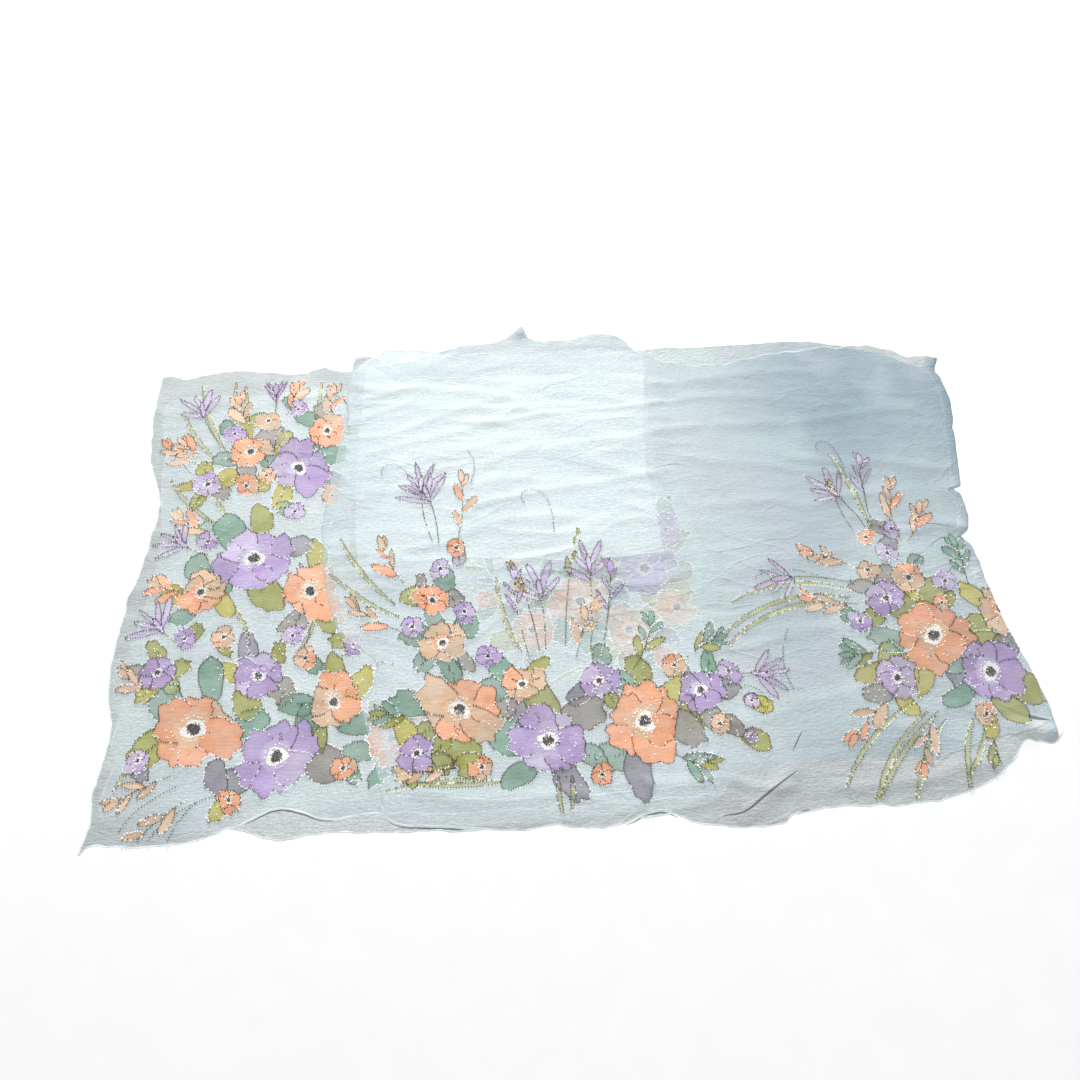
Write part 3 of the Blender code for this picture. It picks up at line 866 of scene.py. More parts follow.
# %% The posies
POSIES = {
    "end": {
        "flowers": [
            (-338, 132, 24, 6, 10, "peach"), (-284, 108, 36, 5, 20, "lilac"),
            (-256, 156, 24, 5, 0, "peach"), (-380, 92, 18, 5, 30, "mauve"), (-322, 0, 42, 6, 25, "lilac"),
            (-262, -40, 35, 5, 15, "peach"), (-372, -36, 26, 5, 80, "apricot"),
            (-362, -178, 45, 6, 40, "peach"), (-282, -208, 41, 6, 30, "lilac"),
            (-306, -128, 27, 5, 5, "mauve"), (-232, -158, 30, 5, 30, "peach"),
            (-404, -120, 19, 5, 0, "lilac"), (-176, -196, 28, 5, 30, "peach"),
            (-206, 30, 24, 5, 0, "lilac"),
        ],
        "florets": [
            (-322, 172, 15, "apricot"), (-290, 186, 12, "mauve"), (-338, 88, 15, "peach"),
            (-246, 72, 14, "apricot"), (-358, 156, 13, "lilac"), (-318, 100, 12, "apricot"),
            (-284, 54, 12, "mauve"), (-372, 22, 12, "mauve"), (-344, -86, 14, "apricot"),
            (-276, -88, 12, "mauve"), (-382, -86, 12, "lilac"), (-262, -112, 13, "apricot"),
            (-410, -206, 13, "mauve"), (-322, -246, 13, "peach"), (-220, -222, 14, "peach"),
            (-216, -100, 12, "lilac"),
        ],
        "sprigs": [
            ("lavender", -374, 146, 130, 50, -26, 0), ("leafy", -346, 160, 96, 44, 20, 0),
            ("blade", -364, 130, 122, 102, -22, 0), ("blade", -352, 138, 104, 92, -14, 0),
            ("blade", -370, 120, 140, 80, -30, 0), ("blade", -344, 150, 92, 74, 10, 0),
            ("spike", -316, 178, 84, 38, 16, 0), ("leafy", -302, 180, 66, 40, 26, 0),
            ("blade", -270, 172, 80, 54, 14, 0), ("leafy", -262, 170, 62, 44, 30, 0),
            ("leafy", -386, 128, 156, 34, -22, 0), ("leafy", -392, 118, 160, 48, -30, 0),
            ("curl", -392, 100, 140, 64, -30, -170), ("blade", -356, 36, 150, 92, -30, 0),
            ("blade", -346, 38, 128, 96, -26, 0), ("leafy", -366, 30, 160, 50, -22, 0),
            ("lavender", -368, 6, 168, 36, -30, 0), ("leafy", -386, -34, 180, 36, -30, 0),
            ("lavender", -386, -92, 150, 32, -24, 0), ("blade", -318, -96, 100, 56, 40, 0),
            ("lavender", -262, -96, 74, 62, 30, 0), ("blade", -268, -104, 62, 86, 34, 0),
            ("leafy", -236, -92, 52, 58, 32, 0), ("leafy", -410, -136, 160, 32, -24, 0),
            ("blade", -396, -196, 210, 50, 40, 0), ("leafy", -378, -222, 196, 56, 20, 0),
            ("leafy", -360, -244, 212, 54, 16, 0), ("curl", -372, -232, 204, 60, 22, 20),
            ("curl", -352, -248, 222, 40, 30, 0), ("curl", -330, -240, 196, 84, 24, 40),
            ("curl", -236, 160, 80, 62, 20, 170), ("blade", -226, -112, 50, 60, 28, 0),
            ("leafy", -216, -112, 84, 56, 22, 0),
        ],
        "leaves": 5,
    },
    "top": {
        "flowers": [
            (-112, -172, 40, 6, 20, "peach"), (-30, -206, 38, 6, 60, "lilac"),
            (62, -192, 42, 6, 35, "peach"), (-128, -104, 25, 5, 44, "apricot"),
            (-138, -58, 20, 5, 12, "peach"), (-52, -150, 22, 5, 10, "apricot"),
            (22, -150, 21, 5, 0, "mauve"), (118, -164, 25, 5, 12, "lilac"), (-152, -212, 20, 5, 0, "lilac"),
            (356, -118, 42, 6, 15, "peach"), (402, -158, 38, 6, 45, "lilac"),
            (318, -76, 22, 5, 70, "lilac"), (430, -92, 28, 5, 30, "apricot"),
            (346, -54, 19, 5, 30, "apricot"), (310, -160, 24, 5, 70, "mauve"),
        ],
        "florets": [
            (-158, -86, 13, "mauve"), (-106, -72, 13, "lilac"), (-130, -24, 13, "mauve"),
            (-114, 0, 12, "peach"), (-84, -120, 13, "lilac"), (96, -138, 13, "apricot"),
            (148, -146, 13, "mauve"), (132, -198, 12, "apricot"), (-92, -228, 13, "apricot"),
            (18, -240, 12, "peach"), (166, -176, 9, "mauve"), (160, -210, 8, "lilac"),
            (306, -44, 13, "apricot"), (330, -26, 13, "mauve"), (312, -6, 12, "peach"),
            (340, 2, 11, "lilac"), (286, -100, 13, "lilac"), (386, -200, 13, "peach"),
            (382, -60, 13, "mauve"), (372, -84, 10, "apricot"),
        ],
        "sprigs": [
            ("lavender", -138, 8, 112, 72, -24, 0), ("lavender", -132, 6, 92, 62, 20, 0),
            ("leafy", -112, 8, 78, 78, 18, 0), ("blade", -176, -60, 140, 96, -26, 0),
            ("blade", -172, -74, 156, 88, -24, 0), ("leafy", -170, -90, 156, 60, -20, 0),
            ("leafy", -166, -40, 126, 56, -18, 0), ("curl", -158, 70, 104, 66, 24, 190),
            ("curl", -98, 76, 70, 44, 30, 40), ("leafy", -176, -124, 168, 46, -26, 0),
            ("spike", -44, -122, 104, 92, -14, 0), ("blade", -52, -116, 118, 84, -26, 0),
            ("lavender", -28, -120, 86, 70, 12, 0), ("buds", -8, -118, 88, 132, -14, 0),
            ("curl", -12, 14, 92, 84, 0, 236), ("buds", -34, -116, 96, 96, 16, 0),
            ("spike", 26, -124, 74, 96, 12, 0), ("lavender", 16, -120, 82, 96, 10, 0),
            ("green", 56, -140, 52, 58, 30, 0), ("leafy", 2, -124, 76, 60, -16, 0),
            ("green", 110, -130, 40, 40, -22, 0), ("curl", 146, -160, 6, 62, -60, -150),
            ("lavender", 146, -150, 10, 34, -20, 0), ("blade", -118, -224, 196, 60, -26, 0),
            ("blade", -88, -240, 176, 92, 16, 0), ("blade", -62, -240, 188, 104, -18, 0),
            ("leafy", -116, -228, 180, 48, 14, 0), ("blade", -22, -240, 262, 34, 24, 0),
            ("blade", -10, -240, 276, 32, -22, 0), ("green", 86, -224, 330, 34, 14, 0),
            ("green", -156, -180, 160, 34, 14, 0), ("spike", 322, 6, 94, 84, -12, 0),
            ("lavender", 314, 6, 112, 52, 16, 0), ("buds", 300, 4, 112, 58, -18, 0),
            ("leafy", 338, 4, 66, 56, 26, 0), ("leafy", 356, -12, 50, 44, 26, 0),
            ("curl", 306, 78, 98, 62, -10, 260), ("blade", 318, 6, 96, 96, 18, 0),
            ("lavender", 288, -58, 160, 74, 26, 0), ("leafy", 288, -80, 184, 52, -24, 0),
            ("leafy", 292, -40, 146, 50, 26, 0), ("blade", 284, -66, 158, 128, 52, 0),
            ("blade", 278, -80, 170, 138, 56, 0), ("blade", 282, -74, 166, 152, 62, 0),
            ("curl", 262, -52, 150, 78, 40, 30), ("blade", 330, -196, 214, 124, 42, 0),
            ("blade", 322, -184, 206, 116, 36, 0), ("blade", 346, -204, 224, 96, 34, 0),
            ("blade", 338, -198, 216, 112, 26, 0), ("leafy", 306, -178, 204, 66, 30, 0),
            ("blade", 372, -204, 240, 72, 30, 0), ("leafy", 340, -196, 232, 60, 26, 0),
            ("blade", 384, -208, 250, 58, -24, 0), ("green", 404, -66, 84, 52, 18, 0),
            ("curl", 214, -104, 236, 66, 60, 0), ("green", 300, -132, 190, 34, -12, 0),
            ("green", 388, -212, 262, 36, 14, 0),
        ],
        "leaves": 6,
    },
    "hidden": {
        "flowers": [
            (10, -66, 34, 6, 0, "peach"), (78, -32, 36, 6, 20, "lilac"), (56, -98, 30, 5, 50, "apricot"),
            (-40, -94, 25, 5, 10, "peach"), (106, -76, 26, 5, 10, "apricot"), (104, 12, 22, 5, 5, "lilac"),
            (-8, -14, 18, 5, 5, "lilac"),
        ],
        "florets": [
            (34, 6, 13, "lilac"), (-52, -48, 13, "apricot"), (78, 34, 13, "peach"), (-84, -60, 12, "peach"),
            (88, -128, 14, "peach"), (112, 50, 12, "apricot"),
        ],
        "sprigs": [
            ("lavender", 60, 20, 82, 70, 10, 0), ("leafy", -40, -40, 110, 62, 12, 0),
            ("buds", 96, 20, 80, 60, 20, 0), ("blade", 20, -130, 200, 80, 20, 0),
            ("green", -60, -50, 130, 60, 20, 0), ("blade", -50, -70, 150, 80, 20, 0),
        ],
        "leaves": 6,
    },
}

# %% [markdown]
# Planting the posies
#
# Each table is planted with its own seed, so that it grows the same way in every run. Around the paint
# the cloth is paler, so a raster keeps how near the paint is, for the shader of the cloth.


# %% Planting
FLOWER_STEP = 1.2  # levels between large flowers that may overlap
FLORET_LEVEL = 3.8  # small flowers lie above the petals of all large ones
HALO_LONG, HALO_WIDE = 12, 7  # blots larger than this make the cloth round them paler
HALO_REACH = 1.35  # how far, against a blot's length


def posy(table, seed):
    """All blots, stems and bead paths of one stretch."""
    rng = np.random.default_rng(seed)
    rows, stems, lines, eyes, leaves = [], [], [], [], []
    for order, (x, y, radius, petals, turn, paint) in enumerate(table["flowers"]):
        rows += flower(x, y, radius, petals, turn, paint, FLOWER_STEP * (order % 3), rng)
        leaves.append(leaves_about(x, y, radius, table["leaves"], rng))
        eyes.append((x, y, radius))
    for x, y, radius, paint in table["florets"]:
        rows += flower(x, y, radius, 5, rng.uniform(0, 72), paint, FLORET_LEVEL, rng)
        leaves.append(leaves_about(x, y, radius * 0.8, 1, rng))
        eyes.append((x, y, radius))
    for row in table["sprigs"]:
        made, stem, edges = sprig(*row, rng)
        rows += made
        stems.append(stem)
        lines += edges
    return np.concatenate(rows + [thinned(np.concatenate(leaves))]), stems, lines, np.array(eyes)


PLANTED = {name: posy(table, seed) for (name, table), seed in zip(POSIES.items(), (501, 601, 701))}


def halo_raster(rows):
    """How near the paint is, from 0 to 1, on the coarse raster: soft bumps over all large blots, capped.
    Chiffon is sized before it is painted, and stays paler there."""
    x, y = np.meshgrid(*plan_axes(COARSE))
    total = np.zeros(x.shape)
    for row in rows[(rows["long"] > HALO_LONG) & (rows["wide"] > HALO_WIDE)]:
        far = np.hypot(x - row["x"], y - row["y"]) / (HALO_REACH * row["long"] + 7)
        total += np.exp(-(far**2))
    return np.clip(total, 0, 1)


HALO = {name: halo_raster(planted[0]) for name, planted in PLANTED.items()}
print("blots:", {name: len(planted[0]) for name, planted in PLANTED.items()})

# %% [markdown]
# The four stretches and the turned-over part
#
# A stretch is a grid filled in between its four edges (a Coons patch): every point is what its left
# and right edge give, plus what its top and bottom edge give, minus what the four corners would give
# alone. Its height comes from the raster. At a fold the cloth turns down in a half round and runs on
# underneath for a few millimetres, so that a fold reads as a fold and not as a cut edge.


# %% Shells
# a fold from its top to its rim, and on underneath: distance from the rim, share of the full height
TURN_STEPS = [(9.0, 1.0), (5.5, 0.9), (3.0, 0.72), (1.4, 0.52), (0.4, 0.3), (0.0, 0.12)]
TURN_UNDER = [(1.2, 0.02), (7.0, 0.0)]
FOLD_DEPTH = TURN_STEPS[0][0]
FLOOR_ROOM = 0.2  # between the turned-down cloth and what it lies on
HALO_ON_END = 1.4  # the end stretch is paler round its paint than the others


def fold_edge(y):
    """x of the right-hand fold at each y."""
    edge = curve_through(TOP_RIGHT, np.linspace(0, 1, 240))
    return np.interp(y, edge[:, 1], edge[:, 0])


def turned_share(depth):
    """The share of its full height at which cloth stands this far in from a fold's rim."""
    inward, share = zip(*TURN_STEPS[::-1])
    return np.interp(depth, inward, share)


def filled(left, right, bottom, top, across, up, seed, much):
    """A grid of points between four ruffled edges, as a Coons patch."""
    low, high = ruffled_edge(bottom, across, seed, much[0]), ruffled_edge(top, across, seed + 2, much[1])
    near, far = ruffled_edge(left, up, seed + 4, much[2]), ruffled_edge(right, up, seed + 6, much[3])
    s, t = across[None, :, None], up[:, None, None]
    ruled = (1 - t) * low[None] + t * high[None] + (1 - s) * near[:, None] + s * far[:, None]
    corners = (1 - t) * ((1 - s) * low[0] + s * low[-1]) + t * ((1 - s) * high[0] + s * high[-1])
    return ruled - corners


def turned_down(x, y, z, raster, side, below):
    """The grid with its left (side 0) or right (side 1) edge turned down to the layer below, and two
    more columns that run on underneath."""
    columns = slice(-1, None) if side else slice(0, 1)
    rim, along = x[:, columns], y[:, columns]
    inward = -1 if side else 1
    floor = (0 if below == "floor" else height(below, rim, along)) + FLOOR_ROOM
    full = height(raster, rim + inward * FOLD_DEPTH, along)
    depth = (x - rim) * inward
    z = np.where(depth < FOLD_DEPTH, floor + (z - floor) * turned_share(depth), z)
    reach, share = (np.array(row)[None] for row in zip(*TURN_UNDER))
    under = (rim + inward * reach, np.repeat(along, len(TURN_UNDER), 1), floor + (full - floor) * share)
    if side:
        return [np.hstack([grid, more]) for grid, more in zip((x, y, z), under)]
    return [np.hstack([more[:, ::-1], grid]) for grid, more in zip((x, y, z), under)]


# %% [markdown]
# What the cloth's shader reads
#
# One shader serves all five stretches. So each point of a shell also says how the cloth looks there:
# whether it lies alone, how cool its dye is, and how near paint or more layers are.


# %% Tones and shells
def tones(x, y, raster, seed, lonely):
    """What the shader reads per point: 'alone' and 'bare' where the cloth lies on nothing else, but at
    a fold; 'cool', which grows towards the far right; and 'halo', round paint and over the turned-over
    part."""
    if raster == "top":
        near_fold = ease((x - fold_edge(y) + 16) / 4)
    else:
        near_fold = ease((y - 225) / 12) * ease((x + 240) / 12)
    cool = ease((x - 70) / 260) * (0.55 + 0.45 * ease(y / 180)) + 0.05 * drift(x, y, 160, 120, seed)
    halo = look_up(HALO[raster], COARSE, x, y) if raster in HALO else np.zeros(x.shape)
    halo = halo * (0.8 + 0.3 * drift(x, y, 20, 16, seed + 3))
    if raster == "end":
        halo = halo * HALO_ON_END * (1 - 0.5 * ease((-300 - x) / 90))
    if raster == "top":
        fading = ease((x + 212) / 50) * (1 - 0.45 * ease((x - 20) / 80))
        halo = np.maximum(halo, over_doubled(x, y, 3) * fading)
    return {"alone": lonely, "bare": lonely * (1 - 0.85 * near_fold), "cool": cool, "halo": halo}


def shell(name, sides, raster, cells, seed, material, much=(1, 1, 1, 1), turns=(None, None), alone=None):
    """One stretch of cloth between its sides left, right, bottom and top, with so many cells across and
    up. turns are the layers that its left and right folds turn down to, much the strength of the waves
    along its bottom, top, left and right edges, and alone a function that is 1 where nothing lies below
    it."""
    plan = filled(*sides, np.linspace(0, 1, cells[0]), np.linspace(0, 1, cells[1]), seed, much)
    x, y = plan[..., 0], plan[..., 1]
    z = height(raster, x, y)
    for side, below in enumerate(turns):
        if below is not None:
            x, y, z = turned_down(x, y, z, raster, side, below)
    lonely = np.zeros(x.shape) if alone is None else alone(x, y)
    verts = np.dstack([x, y, z]).reshape(-1, 3)
    return mesh_piece(name, verts, grid_faces(*x.shape), material, tones(x, y, raster, seed, lonely))


def off(name, x, y, early=0.0):
    """1 where a point is past the outline of that layer, easing from 0 inside it, or from 'early' mm
    further in."""
    return ease((early - inside(name, x, y)) / 3 + 0.5)


# %% [markdown]
# The five shells
#
# The shells are made from the floor up. The lower one is grey and nearly closed, and the end and the
# hidden one are sheer. The turned-over part is nearly white, because so many layers lie there, and the
# top one is clear enough to show them all. Four of them take the place of the frame's solids.

# %% The five shells
# tints of the cloth, by how many layers lie below
PALE = (0.62, 0.715, 0.745)
SKY = (0.18, 0.30, 0.375)
LIGHT = (0.86, 0.965, 0.975)
GREY = (0.64, 0.68, 0.675)
lower_cloth = shell(
    "lower_cloth",
    (LOWER_LEFT, LOWER_RIGHT, LOWER_BOTTOM, LOWER_TOP),
    "lower",
    (220, 140),
    100,
    chiffon("chiffon_lower", GREY, (0.38, 0.46, 0.50), 0.03),
)
end_cloth = shell(
    "end_cloth",
    (END_LEFT, TURN_BACK, END_BOTTOM, END_TOP),
    "end",
    (300, 270),
    120,
    chiffon("chiffon_end", (0.53, 0.61, 0.64), (0.53, 0.62, 0.66), 0.38, (0.47, 0.51, 0.51)),
    much=(1, 1.6, 1, 1),
    alone=lambda x, y: off("lower", x, y),
)
hidden_cloth = shell(
    "hidden_cloth",
    (HIDDEN_LEFT, HIDDEN_RIGHT, HIDDEN_BOTTOM, HIDDEN_TOP),
    "hidden",
    (130, 176),
    140,
    chiffon("chiffon_hidden", (0.72, 0.82, 0.85), (0.62, 0.74, 0.80), 0.45, (0.64, 0.73, 0.76)),
    alone=lambda x, y: off("lower", x, y) * off("end", x, y),
)
x0, x1, y0, y1 = *DOUBLED_X, *DOUBLED_Y
DOUBLED_BOTTOM = [(x0, y0), (-90, y0 + 3), (0, y0 - 4), (x1, y0)]
DOUBLED_RIGHT = [(x1, y0), (x1 - 8, 100), (x1 + 4, y1 - 10)]
doubled_cloth = shell(
    "doubled_cloth",
    (
        [(x0, y0), (x0 - 6, 90), (x0, y1)],
        DOUBLED_RIGHT,
        DOUBLED_BOTTOM,
        [(x0, y1), (-170, y1 - 30), (-113, y1 - 36), (-50, y1 - 26), (40, y1 - 26), (x1 + 4, y1 - 10)],
    ),
    "doubled",
    (110, 100),
    160,
    chiffon("chiffon_doubled", LIGHT, (0.84, 0.96, 0.98), 0.15),
)
top_cloth = shell(
    "top_cloth",
    (TOP_LEFT, TOP_RIGHT, TOP_BOTTOM, TOP_TOP),
    "top",
    (350, 276),
    180,
    chiffon("chiffon_top", PALE, SKY, 0.45, (0.525, 0.555, 0.56), 1.2, 1.0),
    much=(1, 2, 1, 1),
    turns=("end", "floor"),
    alone=lambda x, y: off("lower", x, y, 2.5) * off("end", x, y) * off("hidden", x, y),
)
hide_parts("lower_stretch")
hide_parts("end_stretch")
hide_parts("hidden_folds")
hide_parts("top_stretch")
for sheer in (lower_cloth, end_cloth, hidden_cloth, doubled_cloth, top_cloth):
    let_light_through(sheer)


# %% [markdown]
# Rolled hems
#
# The edge of chiffon is rolled into a narrow cord and sewn. It is several layers thick, so it shows
# as a pale line. It casts no shadow here: the thin shadow along some edges is painted, as dark lines
# further on. Each hem is a flattened round profile carried along the edge of its stretch, a little
# uneven as hand-rolled hems are.


# %% Hems
HEM_ROUND = 8  # points round the profile
HEM_STEP = 2.2  # distance between two profiles
HEM_WIDE, HEM_HIGH = 0.72, 0.5  # half sizes of the profile
HEM_RISE = 0.25  # how far its middle lies above the cloth


def hem(points, raster, seed, much):
    """Points and faces of one rolled hem: an ellipse carried along the ruffled edge, closed at both ends.
    Its half width varies with a drifting value."""
    rough = lengths_along(curve_through(points, np.linspace(0, 1, 200)))
    path = ruffled_edge(points, np.linspace(0, 1, int(rough[-1] / HEM_STEP)), seed, much)
    along = np.arange(len(path)) * HEM_STEP
    z = height(raster, path[:, 0], path[:, 1]) + HEM_RISE + 0.3 * drift(along, 0, 14, 9, seed + 8)
    size = 1 + 0.25 * drift(along, 0, 9, 9, seed + 9)
    angle = np.linspace(0, 2 * np.pi, HEM_ROUND, endpoint=False)
    out = (np.cos(angle)[None] * (HEM_WIDE * size)[:, None])[..., None]
    ring = np.empty((len(path), HEM_ROUND, 3))
    ring[..., :2] = path[:, None] + normals(path)[:, None] * out
    ring[..., 2] = np.maximum(z[:, None] + np.sin(angle)[None] * HEM_HIGH, 0.05)
    index = np.arange(ring.shape[0] * HEM_ROUND).reshape(-1, HEM_ROUND)
    turned = np.roll(index, -1, 1)
    body = np.stack([index[:-1], index[1:], turned[1:], turned[:-1]], -1).reshape(-1, 4)
    verts = np.vstack([ring.reshape(-1, 3), ring[0].mean(0), ring[-1].mean(0)])
    first, last = len(verts) - 2, len(verts) - 1
    caps = [np.column_stack([turned[0], np.full(HEM_ROUND, first), index[0]])]
    caps += [np.column_stack([index[-1], np.full(HEM_ROUND, last), turned[-1]])]
    return verts, body, np.vstack(caps)


def joined(parts):
    """Several (points, quads, triangles) sets as one set of points and faces."""
    verts, faces, offset = [], [], 0
    for points, *groups in parts:
        verts.append(points)
        for group in groups:
            faces += (group + offset).tolist()
        offset += len(points)
    return np.vstack(verts), faces


def hem_cloth(name, colour, bright):
    """Rolled chiffon: nearly closed, paler than one layer, with the slant of the rolling in its bump."""
    bench = Bench(name)
    uneven = bench.ranged(bench.noise(90), 0.35, 0.65)
    twist = bench.noise(700)
    tint = bench.blend(uneven, (*colour, 1), (*bright, 1))
    return bench.finish(
        Base_Color=tint, Roughness=0.6, Alpha=0.55 + 0.25 * uneven, Normal=bench.bump(twist, 0.0004, 0.5)
    )


pale_hem = hem_cloth("rolled_hem", (0.68, 0.78, 0.82), (0.90, 0.97, 0.98))
grey_hem = hem_cloth("rolled_hem_below", (0.58, 0.63, 0.64), (0.76, 0.82, 0.84))
# The hem of the turned-over part is a rolled hem drawn much darker than the others: painted shade along the
# step where that part ends.
step_shade_hem = hem_cloth("hem_inside_shaded", (0.3, 0.4, 0.45), (0.45, 0.55, 0.6))
above_hem = hem_cloth("rolled_hem_above", (0.56, 0.66, 0.70), (0.74, 0.83, 0.86))


def hem_piece(name, raster, seed, edges, material, much=(1, 1, 1)):
    """The hems of one stretch: its edges in the order bottom, top, left, with the shell's own seeds."""
    runs = [hem(edge, raster, seed + 2 * order, much[order]) for order, edge in enumerate(edges)]
    return mesh_piece(name, *joined(runs), material)


lower_hem = hem_piece("lower_hem", "lower", 100, (LOWER_BOTTOM, LOWER_TOP, LOWER_LEFT), grey_hem)
end_hem = hem_piece("end_hem", "end", 120, (END_BOTTOM, END_TOP, END_LEFT), pale_hem, (1, 1.6, 1))
hidden_hem = hem_piece("hidden_hem", "hidden", 140, (HIDDEN_BOTTOM, HIDDEN_TOP), pale_hem)
doubled_hem = hem_piece("doubled_hem", "doubled", 160, (DOUBLED_BOTTOM,), step_shade_hem)
top_hem = hem_piece("top_hem", "top", 180, (TOP_BOTTOM,), above_hem)
far_hem = hem_piece("far_hem", "top", 182, (TOP_TOP,), pale_hem, (2,))
for cord in (lower_hem, end_hem, hidden_hem, doubled_hem, top_hem, far_hem):
    let_light_through(cord)


# %% [markdown]
# Where the cloth is pinched, where a hem stands off what lies below, and under the curled corner at the
# lower right, thin shade falls. It is painted: short dark lines, narrow tapered ribbons of near-black
# cloth colour laid along the crease. They are made as narrow tapered ribbons of shaded cloth laid along the
# crease.

# %% Painted shadow lines
LINE_RISE = 0.25  # how far the lines lie above the cloth
HEM_SHADOW_WIDTH = 1.5  # greatest width of the lines below hems
EDGE_POINTS = 300  # points along a hem's curve, of which such a line takes a part
# painted shadow lines in pinches and under the curled corner: points of each line, and its greatest width
PINCH_SHADOWS = [
    ([(123, -282), (144, -279), (164, -266), (184, -253), (199, -244)], 2.1),
    ([(197, -226), (204, -215), (209, -208)], 1.2),
    ([(192, -283), (198, -281), (204, -280)], 1.8),
    ([(405, 0), (388, 5), (374, 7), (353, 10)], 0.8),
    ([(408, -14), (396, -10), (387, -12), (376, -20)], 0.7),
    ([(398, -40), (390, -48), (382, -62)], 0.6),
    ([(398, -190), (412, -199), (426, -205), (444, -209)], 4.5),
    ([(96, 84), (120, 92), (141, 88)], 0.5),
]
# painted shadow below hems that stand off: edge, its seed, first and last share of it, how far outside
# the hem the line lies
HEM_SHADOWS = [
    (TOP_BOTTOM, 180, 0.02, 0.14, -1.4),
    (TOP_BOTTOM, 180, 0.34, 0.42, -1.4),
    (END_BOTTOM, 120, 0.25, 0.40, -1.3),
    (END_LEFT, 124, 0.46, 0.54, 1.3),
]


def ribbon(path, width, z):
    """A flat strip along a path, three points across, that tapers to nothing at both ends."""
    taper = width * np.sin(np.pi * np.linspace(0, 1, len(path))) ** 0.6 + 0.08
    side = normals(path)[:, None] * np.array([0.5, 0, -0.5])[None, :, None]
    points = path[:, None] + side * taper[:, None, None]
    verts = np.dstack([points, (z(points[..., 0], points[..., 1]) + LINE_RISE)[..., None]])
    return verts.reshape(-1, 3), grid_faces(len(path), 3)


def on_top(x, y):
    """The surface that the painted shade of a pinched crease lies on."""
    return height("top", x, y)


def below_hems(x, y):
    """The surface that the painted shadow below a hem lies on: the lower stretch, or the floor outside it."""
    return np.where(inside("lower", x, y) > 0, height("lower", x, y), 0)


def painted_shadow_strips():
    """All painted shadow lines: those on the top stretch by their points, those below hems along the hem's
    curve.
    """
    shares = np.linspace(0, 1, 50)
    parts = [ribbon(curve_through(points, shares), width, on_top) for points, width in PINCH_SHADOWS]
    for edge, seed, first, last, away in HEM_SHADOWS:
        path = ruffled_edge(edge, np.linspace(0, 1, EDGE_POINTS), seed)
        path = path[int(first * EDGE_POINTS):int(last * EDGE_POINTS)]
        parts.append(ribbon(path + away * normals(path), HEM_SHADOW_WIDTH, below_hems))
    return joined(parts)


# Painted shadow: a near-black cloth colour, a little uneven, for the shade in creases and below hems.
bench = Bench("painted_shadow_cloth")
shadow_unevenness = bench.ranged(bench.noise(60), 0.35, 0.65)
shade = bench.blend(shadow_unevenness, (0.05, 0.05, 0.055, 1), (0.16, 0.15, 0.14, 1))
painted_shadow_finish = bench.finish(Base_Color=shade, Roughness=0.9, Alpha=0.75 + 0.2 * shadow_unevenness)
painted_shadow_lines = mesh_piece("painted_shadow_lines", *painted_shadow_strips(), painted_shadow_finish)
let_light_through(painted_shadow_lines)

# %% [markdown]
# Paint on chiffon is thin in the middle of a petal and pools at its rim and at its foot, and it has
# fine streaks. Each point of a blot carries its colour and how strong the paint is there. Where a
# blot reaches past the fold at the right, it goes round the fold with the cloth.

# %% Laying paint on the cloth
STEM_STRENGTH = 0.72  # how closely the paint of a stem covers
OUTLINE = np.array([0.16, 0.14, 0.14])  # the line drawn round each blot
PAINT_LIFT = 0.30  # the lowest paint above the crinkled shell
LEVEL_STEP = 0.07  # between two levels of blots
LOWEST_LEVEL = -3.0  # no blot has a lower one
RIM_SHARE = 0.22  # width of the rim where paint pools, as a share of the blot
DULLED = np.array([0.80, 0.86, 0.88])  # what thin paint drifts towards
OUTSIDE_FOLD = 0.25  # how far paint stands off the rim of the right-hand fold
ROUND_FOLD = 3.0  # and how far down it follows the cloth there


def onto_cloth(x, y, raster, lift):
    """Points on a layer's surface, taken round the right-hand fold where they reach past it."""
    if raster != "top":
        return np.stack([x, y, height(raster, x, y) + lift], -1)
    edge = fold_edge(y) + OUTSIDE_FOLD
    past = np.clip(x - edge, 0, ROUND_FOLD)
    z = height(raster, np.minimum(x, edge - 1), y)
    depth = np.clip(edge - x, 0, FOLD_DEPTH)
    z = np.where(depth < FOLD_DEPTH, FLOOR_ROOM + (z - FLOOR_ROOM) * turned_share(depth), z)
    return np.stack([np.minimum(x, edge), y, np.maximum(z + lift - past, 0.15)], -1)


# %% [markdown]
# Patches of paint
#
# A patch of paint is a disc: rings of points from the middle of a blot to its outline, closest together
# at the rim, where the colour changes fastest. Each point keeps its own colour, so the paint needs no
# image and nothing can be stretched.


